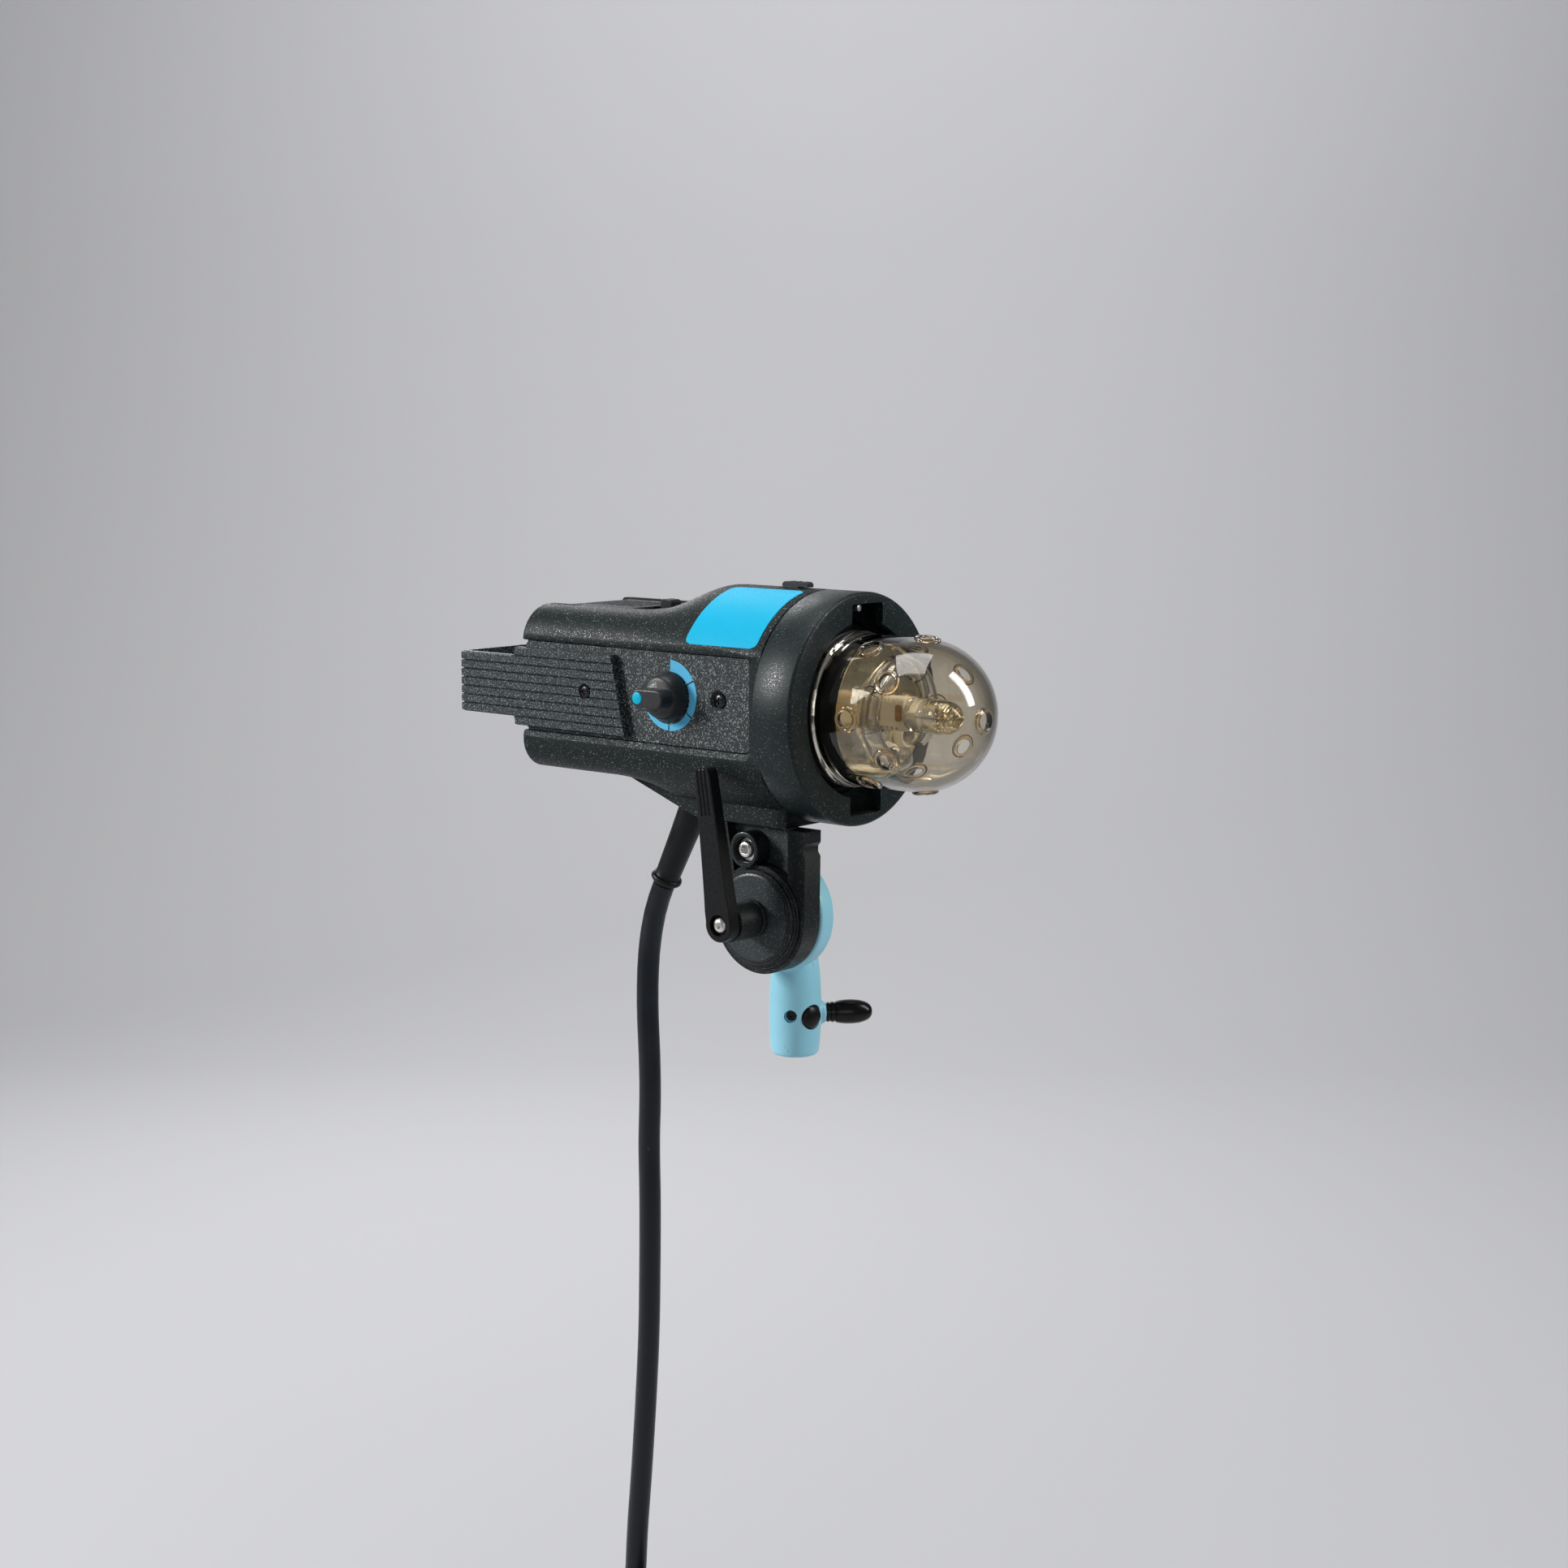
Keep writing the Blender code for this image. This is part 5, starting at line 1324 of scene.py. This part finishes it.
def on_dome(point):
    """Move a point onto the dome's outer surface, and say which way is out there."""
    middle = Vector((min(point.x, DOME_CENTRE_X), 0.0, AXIS_Z))
    out = (point - middle).normalized()
    return middle + out * DOME_R, out


def vent_rim(name, at, way):
    """The raised glass bead round one vent, lying along the dome's surface."""
    side = way.orthogonal().normalized()
    other = way.cross(side)
    sections = []
    for u, v in on_circle(40, VENT_RIM_R):
        centre, out = on_dome(at + way * DOME_R + side * u + other * v)
        away = (side * u + other * v).normalized()
        away = (away - out * away.dot(out)).normalized()
        sections.append([centre + away * p + out * (q + 0.1) for p, q in on_circle(12, VENT_BEAD_R)])
    return loft(name, sections, closed=True)


def tint_rims(dome):
    """Give the beads round the vents the deeper colour that thick glass shows."""
    dome.data.materials.append(AMBER)
    reach = VENT_RIM_R + VENT_BEAD_R + 0.1
    proud = 0.25
    for face in dome.data.polygons:
        centre = Vector(face.center) / MM
        for at, way in vent_places():
            offset = centre - at
            ahead = offset.dot(way)
            near = ahead > 0 and (offset - way * ahead).length < reach
            if near and (centre - on_dome(centre)[0]).length > proud:
                face.material_index = 1


def glass_dome():
    """The smoked dome with its bead at the foot and thirteen vents with raised rims."""
    inner_r = DOME_R - 1.9
    outer, inner = (on_circle(19, r, (DOME_CENTRE_X, 0.0), 0, 90) for r in (DOME_R, inner_r))
    bead = [(47.0, DOME_R), (46.0, DOME_R + 0.4), (45.6, DOME_R + 1.1), (45.0, DOME_R + 1.6),
            (44.0, DOME_R + 1.6), (43.5, DOME_R + 1.0), (43.5, inner_r)]
    profile = outer + bead + inner[::-1]
    dome = on_axis("glass_dome_shell", profile, SMOKED, 128, ring=False, smooth_deg=60.0)
    vents = vent_places()
    holes, rims = [], []
    for k, (at, way) in enumerate(vents):
        holes.append(rod(f"vent_{k}_form", at + way * 20, at + way * 60, VENT_RIM_R - 0.5, None, 36))
        rims.append(vent_rim(f"vent_{k}_rim_form", at, way))
    boolean(dome, holes)
    bake(dome)
    boolean(dome, rims, "UNION")
    bake(dome)
    tint_rims(dome)
    return dome


def make_lamp():
    place("head", "lamp_base", make_lamp_base())
    place("head", "reflector_plate", reflector_plate())
    place("head", "flash_tube", flash_tube())
    place("head", "trigger_wire", trigger_turns())
    envelope, filament, posts = modelling_lamp()
    place("head", "modelling_lamp", envelope, filament, *posts)
    place("head", "lamp_socket", *lamp_socket())
    for name, (y, z) in zip(("tube_socket_a", "tube_socket_b"), leg_places()):
        near = TUBE_R + GAP
        profile = [(PLATE_X + 1.4, near), (PLATE_X + 1.4, near + 2.0), (PLATE_X + 2.4, near + 2.1),
                   (PLATE_X + 6.2, near + 1.4), (PLATE_X + 6.8, near + 0.9), (PLATE_X + 6.8, near)]
        cup = turned(f"{name}_cup", profile, (0, y, z), (1, 0, 0), CERAMIC, 32, ring=True)
        place("head", name, cup)
    place("head", "glass_dome", glass_dome())


# ---------------------------------------------------------------- tilt bracket


POCKET_Y = -26.0
BOSS_AT = (-8.0, 122.0)


def tilt_arm():
    """The bracket's plate with its webs, stepped pivot disc and screw boss."""
    disc = on_circle(49, DISC_R, (0.0, PIVOT_Z), 188.0, 172.0)
    outline = [(-37.5, 135.6), *disc, (32.9, 121.0), (31.2, 123.6), (31.2, 126.6), (33.0, 129.0),
               (33.0, 135.6)]
    arm = prism("bracket_arm", outline, "y", ARM_Y[0] + 1.0, ARM_Y[1], BRACKET)
    pocket = [(-26.6, 150.0), (-18.2, 108.0), (-13.0, 92.0), (10.0, 92.0), (20.5, 97.0), (20.5, 150.0)]
    boolean(arm, [prism("arm_pocket_form", pocket, "y", -50.0, POCKET_Y)])
    step = [(0, 0), (0, 29.6), (14.0, 29.6), (14.4, 29.2), (14.4, 27.8), (15.2, 27.2), (16.6, 27.0),
            (17.2, 26.4), (17.2, 25.6), (18.0, 25.0), (18.4, 24.0), (18.4, 0)]
    boss = turned("arm_disc_form", step, (0, -20.0, PIVOT_Z), (0, -1, 0), None, 96)
    cup_profile = [(0, 0), (0, 10.4), (12.2, 10.2), (12.8, 9.9), (13.0, 9.4), (13.0, 0)]
    cup = turned("arm_cup_form", cup_profile, (BOSS_AT[0], -24.0, BOSS_AT[1]), (0, -1, 0), None, 64)
    boolean(arm, [boss, cup], "UNION")
    seat = [(0, 0), (0, 7.8), (23.2, 7.8), (24.0, 7.3), (29.0, 7.1), (29.0, 3.4), (38.0, 3.4), (38.0, 0)]
    tools = [
        turned("arm_seat_form", seat, (BOSS_AT[0], -60.0, BOSS_AT[1]), (0, 1, 0), None, 48),
        rod("arm_bore_form", (0, -80, PIVOT_Z), (0, 0, PIVOT_Z), BOLT_R + GAP, None, 32),
    ]
    boolean(arm, tools)
    soften(arm, 0.45, 2, 45.0)
    bake(arm)
    paint_light_on_facings(arm)
    return arm


def paint_light_on_facings(arm):
    """Give the floor of the arm's pocket and the disc's front face a paler paint: painted light, standing
    for the key light that falls on them.
    """
    arm.data.materials.append(PAINTED_LIGHT_FACE)
    disc_face_y = -38.4
    for face in arm.data.polygons:
        x, y, z = Vector(face.center) / MM
        faces_out = face.normal.y < -0.95
        on_floor = y > POCKET_Y - 0.5 and abs(x + 3.0) < 24.0 and 92.0 < z < 137.0
        on_disc = abs(y - disc_face_y) < 0.5 and math.hypot(x, z - PIVOT_Z) < 26.0
        if faces_out and (on_floor or on_disc):
            face.material_index = 1


def bracket_screw():
    """The silver socket-head screw in the boss."""
    profile = [(0, 0), (0, 2.9), (7.4, 2.9), (7.4, 6.5), (7.7, 6.8), (8.5, 6.8), (8.9, 6.4), (9.1, 4.8),
               (11.8, 4.5), (12.2, 4.2), (12.4, 3.7), (12.4, 0)]
    screw = turned("boss_screw", profile, (BOSS_AT[0], -23.8, BOSS_AT[1]), (0, -1, 0), SILVER, 48)
    boolean(screw, [prism("boss_hex_form", on_circle(6, 2.75, BOSS_AT), "y", -50, -33.6)])
    soften(screw, 0.15, 2, 50.0)
    return screw


def lever_outline(count=17):
    """The clamp lever's side view, with soft corners at its grip end."""
    lean = math.radians(8.4)
    along, across = Vector((-math.sin(lean), math.cos(lean))), Vector((math.cos(lean), math.sin(lean)))
    turn = (math.radians(172.4 + 180 * k / (count - 1)) for k in range(count))
    outline = [Vector((math.cos(a), math.sin(a))) * 9.4 for a in turn]
    right = ((8, 9.1), (16, 8.5), (30, 7.7), (58, 6.5), (83, 5.3), (85.4, 4.9), (86.7, 4.1), (87.2, 3.0))
    outline += [along * up + across * half for up, half in right]
    outline += [along * up - across * half for up, half in right[::-1]]
    return [(p.x, PIVOT_Z + p.y) for p in outline], along, across


def make_lever():
    """The tilt lever with its hub and its star-headed screw."""
    outline, along, across = lever_outline()
    lever = prism("tilt_lever", outline, "y", LEVER_Y[0], LEVER_Y[1], LEVER)
    soften(lever, 1.0, 3, 25.0)
    head_at = (0, LEVER_Y[0], PIVOT_Z)
    seat = [(-5, 0), (-5, 6.25), (3.6, 6.0), (3.6, 3.3), (20, 3.3), (20, 0)]
    tools = [turned("lever_seat_form", seat, head_at, (0, 1, 0), None, 40)]
    for k, offset in enumerate((-2.7, 0.0, 2.7)):
        ends = [along * up + across * (offset - 0.016 * (up - 74)) for up in (61.0, 100.0)]
        start, end = ((p.x, LEVER_Y[0] - 0.35, PIVOT_Z + p.y) for p in ends)
        tools.append(rod(f"lever_groove_{k}", start, end, 0.95, None, 16))
    boolean(lever, tools)
    inner = -38.7
    long = inner - LEVER_Y[1] - GAP
    profile = [(0, BOLT_R + GAP), (0, 10.4), (0.5, 11.0), (2.0, 11.0), (2.5, 10.6), (long - 0.4, 10.6),
               (long, 10.2), (long, 3.3), (long - 5.0, 3.3), (long - 5.0, BOLT_R + GAP)]
    hub = turned("tilt_lever_hub", profile, (0, inner, PIVOT_Z), (0, -1, 0), BRACKET, 48, ring=True)
    head = [(0, 0), (0, 2.9), (9.3, 2.9), (9.3, 4.5), (9.8, 4.6), (10.6, 4.3), (11.4, 3.5), (11.9, 2.4),
            (12.0, 0)]
    screw = turned("tilt_lever_screw", head, (0, LEVER_Y[0] + 12.0, PIVOT_Z), (0, -1, 0), SILVER, 48)
    points, hollows = (on_circle(12, r, (0.0, PIVOT_Z)) for r in (2.1, 1.5))
    star = [(points if k % 2 else hollows)[k] for k in range(12)]
    boolean(screw, [prism("lever_star_form", star, "y", -80, LEVER_Y[0] + 1.7)])
    place("clamp_lever", "clamp_lever", lever)
    place("clamp_lever", "lever_hub", hub)
    place("clamp_lever", "lever_screw", screw)


def make_bracket():
    place("head", "tilt_arm", tilt_arm())
    place("head", "bracket_screw", bracket_screw())
    make_lever()


# ---------------------------------------------------------------- stand receiver


def receiver_casting():
    """The blue casting: its barrel flows into the pivot disc through soft fillets."""
    barrel = [(0, 0), (0, RECEIVER_R - 2.0), (0.5, RECEIVER_R - 1.2), (1.6, RECEIVER_R - 0.7),
              (3.4, RECEIVER_R - 0.3), (10.0, RECEIVER_R + 0.2), (20.0, RECEIVER_R + 0.6),
              (32.0, RECEIVER_R + 0.6), (42.0, RECEIVER_R + 0.2), (50.0, RECEIVER_R - 0.5),
              (60.0, RECEIVER_R - 1.8), (72.0, RECEIVER_R - 3.6), (72.0, 0)]
    casting = turned("receiver_casting", barrel, (0, 0, 0), (0, 0, 1), BLUE, 72)
    disc = [(0, 0), (0, 11.5), (1.0, 13.4), (3.0, 15.2), (9.0, 18.4), (14.0, 20.6), (16.6, 22.2),
            (17.6, 26.0), (17.8, 31.4), (18.8, 33.0), (28.6, 33.2), (29.8, 32.6), (30.0, 31.8), (30.0, 0)]
    forms = [
        turned("receiver_disc_form", disc, (0, 12.0, PIVOT_Z), (0, -1, 0), None, 96),
        outward_rod("receiver_boss_form", HANDLE, 4.0, 17.5, 6.3, 40, 0.8),
    ]
    boolean(casting, forms, "UNION")
    remesh = casting.modifiers.new("cast", "REMESH")
    remesh.mode = "VOXEL"
    remesh.voxel_size = 0.7 * MM
    remesh.use_smooth_shade = True
    relax = casting.modifiers.new("relax", "SMOOTH")
    relax.factor = 0.5
    relax.iterations = 14
    bolt_hole = [(-40, 0), (-40, 8.5), (-3.7, 8.5), (-3.7, BOLT_R + GAP), (40, BOLT_R + GAP), (40, 0)]
    button_hole = [(-5.0, 0), (-5.0, 3.4), (0, 3.4), (0, 7.3), (20.0, 7.3), (20.0, 0)]
    screw_hole = [(0, 0), (0, 3.1), (6.4, 3.1), (6.4, 3.8), (20, 3.8), (20, 0)]
    tools = [
        rod("socket_form", (0, 0, -10), (0, 0, SOCKET_DEPTH), SOCKET_R, None, 48),
        outward("receiver_screw_form", screw_hole, SET_SCREW, 5),
        outward("receiver_button_form", button_hole, BUTTON, 9.2, None, 48),
        outward_rod("receiver_clamp_form", HANDLE, 4, 30, 4.0),
        turned("receiver_bolt_form", bolt_hole, (0, 0, PIVOT_Z), (0, -1, 0), None, 40),
    ]
    boolean(casting, tools)
    return casting


def receiver_screw():
    """The grub screw sunk in the casting; its blackened metal is painted shade that stands for the shadow
    in its hole.
    """
    profile = [(0, 0), (0, 2.9), (2.4, 2.9), (2.8, 2.5), (2.8, 0)]
    screw = outward("receiver_grub_screw", profile, SET_SCREW, 8.7, DARK_SCREW)
    boolean(screw, [outward_rod("grub_hex_form", SET_SCREW, 10.0, 20, 1.5, 6)])
    return screw


def release_button():
    """The glossy domed button that frees the stand's spigot."""
    profile = [(0, 0), (0, 2.9), (0.3, 3.1), (3.0, 3.1), (3.0, 6.9), (4.9, 6.95), (5.7, 6.75), (6.5, 6.1),
               (7.2, 4.9), (7.6, 3.2), (7.9, 1.4), (8.0, 0)]
    return outward("spigot_button", profile, BUTTON, 8.3, GRIP, 56)


def button_spring():
    """The button's return spring, drawn as a fixed coil."""
    out = Vector(around(BUTTON[0], 1, 0))
    across = Vector((-out.y, out.x, 0.0))
    turns, steps, reach = 3, 72, 5.0
    path = []
    for i in range(steps + 1):
        wound = 2 * math.pi * turns * i / steps
        middle = Vector(around(BUTTON[0], 9.8 + 1.2 * i / steps, BUTTON[1]))
        path.append(middle + across * (reach * math.cos(wound)) + Vector((0, 0, reach * math.sin(wound))))
    return swept("spigot_spring", path, 0.2, STEEL, 8)


def clamp_grip():
    """The oval clamp grip with two fine rings at its root."""
    profile = [(0, 3.4), (0, 5.2), (0.4, 5.6), (1.5, 5.7), (1.75, 5.2), (2.3, 5.2), (2.6, 5.7),
               (4.2, 5.9), (4.5, 5.4), (5.1, 5.4), (5.4, 6.0), (7.5, 6.5), (11, 6.9), (15, 6.95),
               (19, 6.6), (22, 5.8), (24, 4.9), (25.4, 3.8), (26.3, 2.5), (26.6, 1.2), (26.7, 0), (15, 0),
               (15, 3.4)]
    return outward("clamp_grip", profile, HANDLE, 17.8, GRIP, 56, ring=True)


def make_receiver():
    place("stand_receiver", "stand_receiver", receiver_casting())
    place("stand_receiver", "receiver_set_screw", receiver_screw())
    place("safety_button", "safety_button", release_button())
    spring = button_spring()
    place("stand_receiver", "button_spring", spring)
    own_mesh(spring)
    place("clamp_handle", "clamp_handle", clamp_grip())


# ---------------------------------------------------------------- build

make_camera()
make_cable()
make_studio()
finish_cad_nodes()
strain_relief()
make_housing()
make_knob()
make_collar()
make_latch()
make_lamp()
make_bracket()
make_receiver()

bpy.context.view_layer.update()
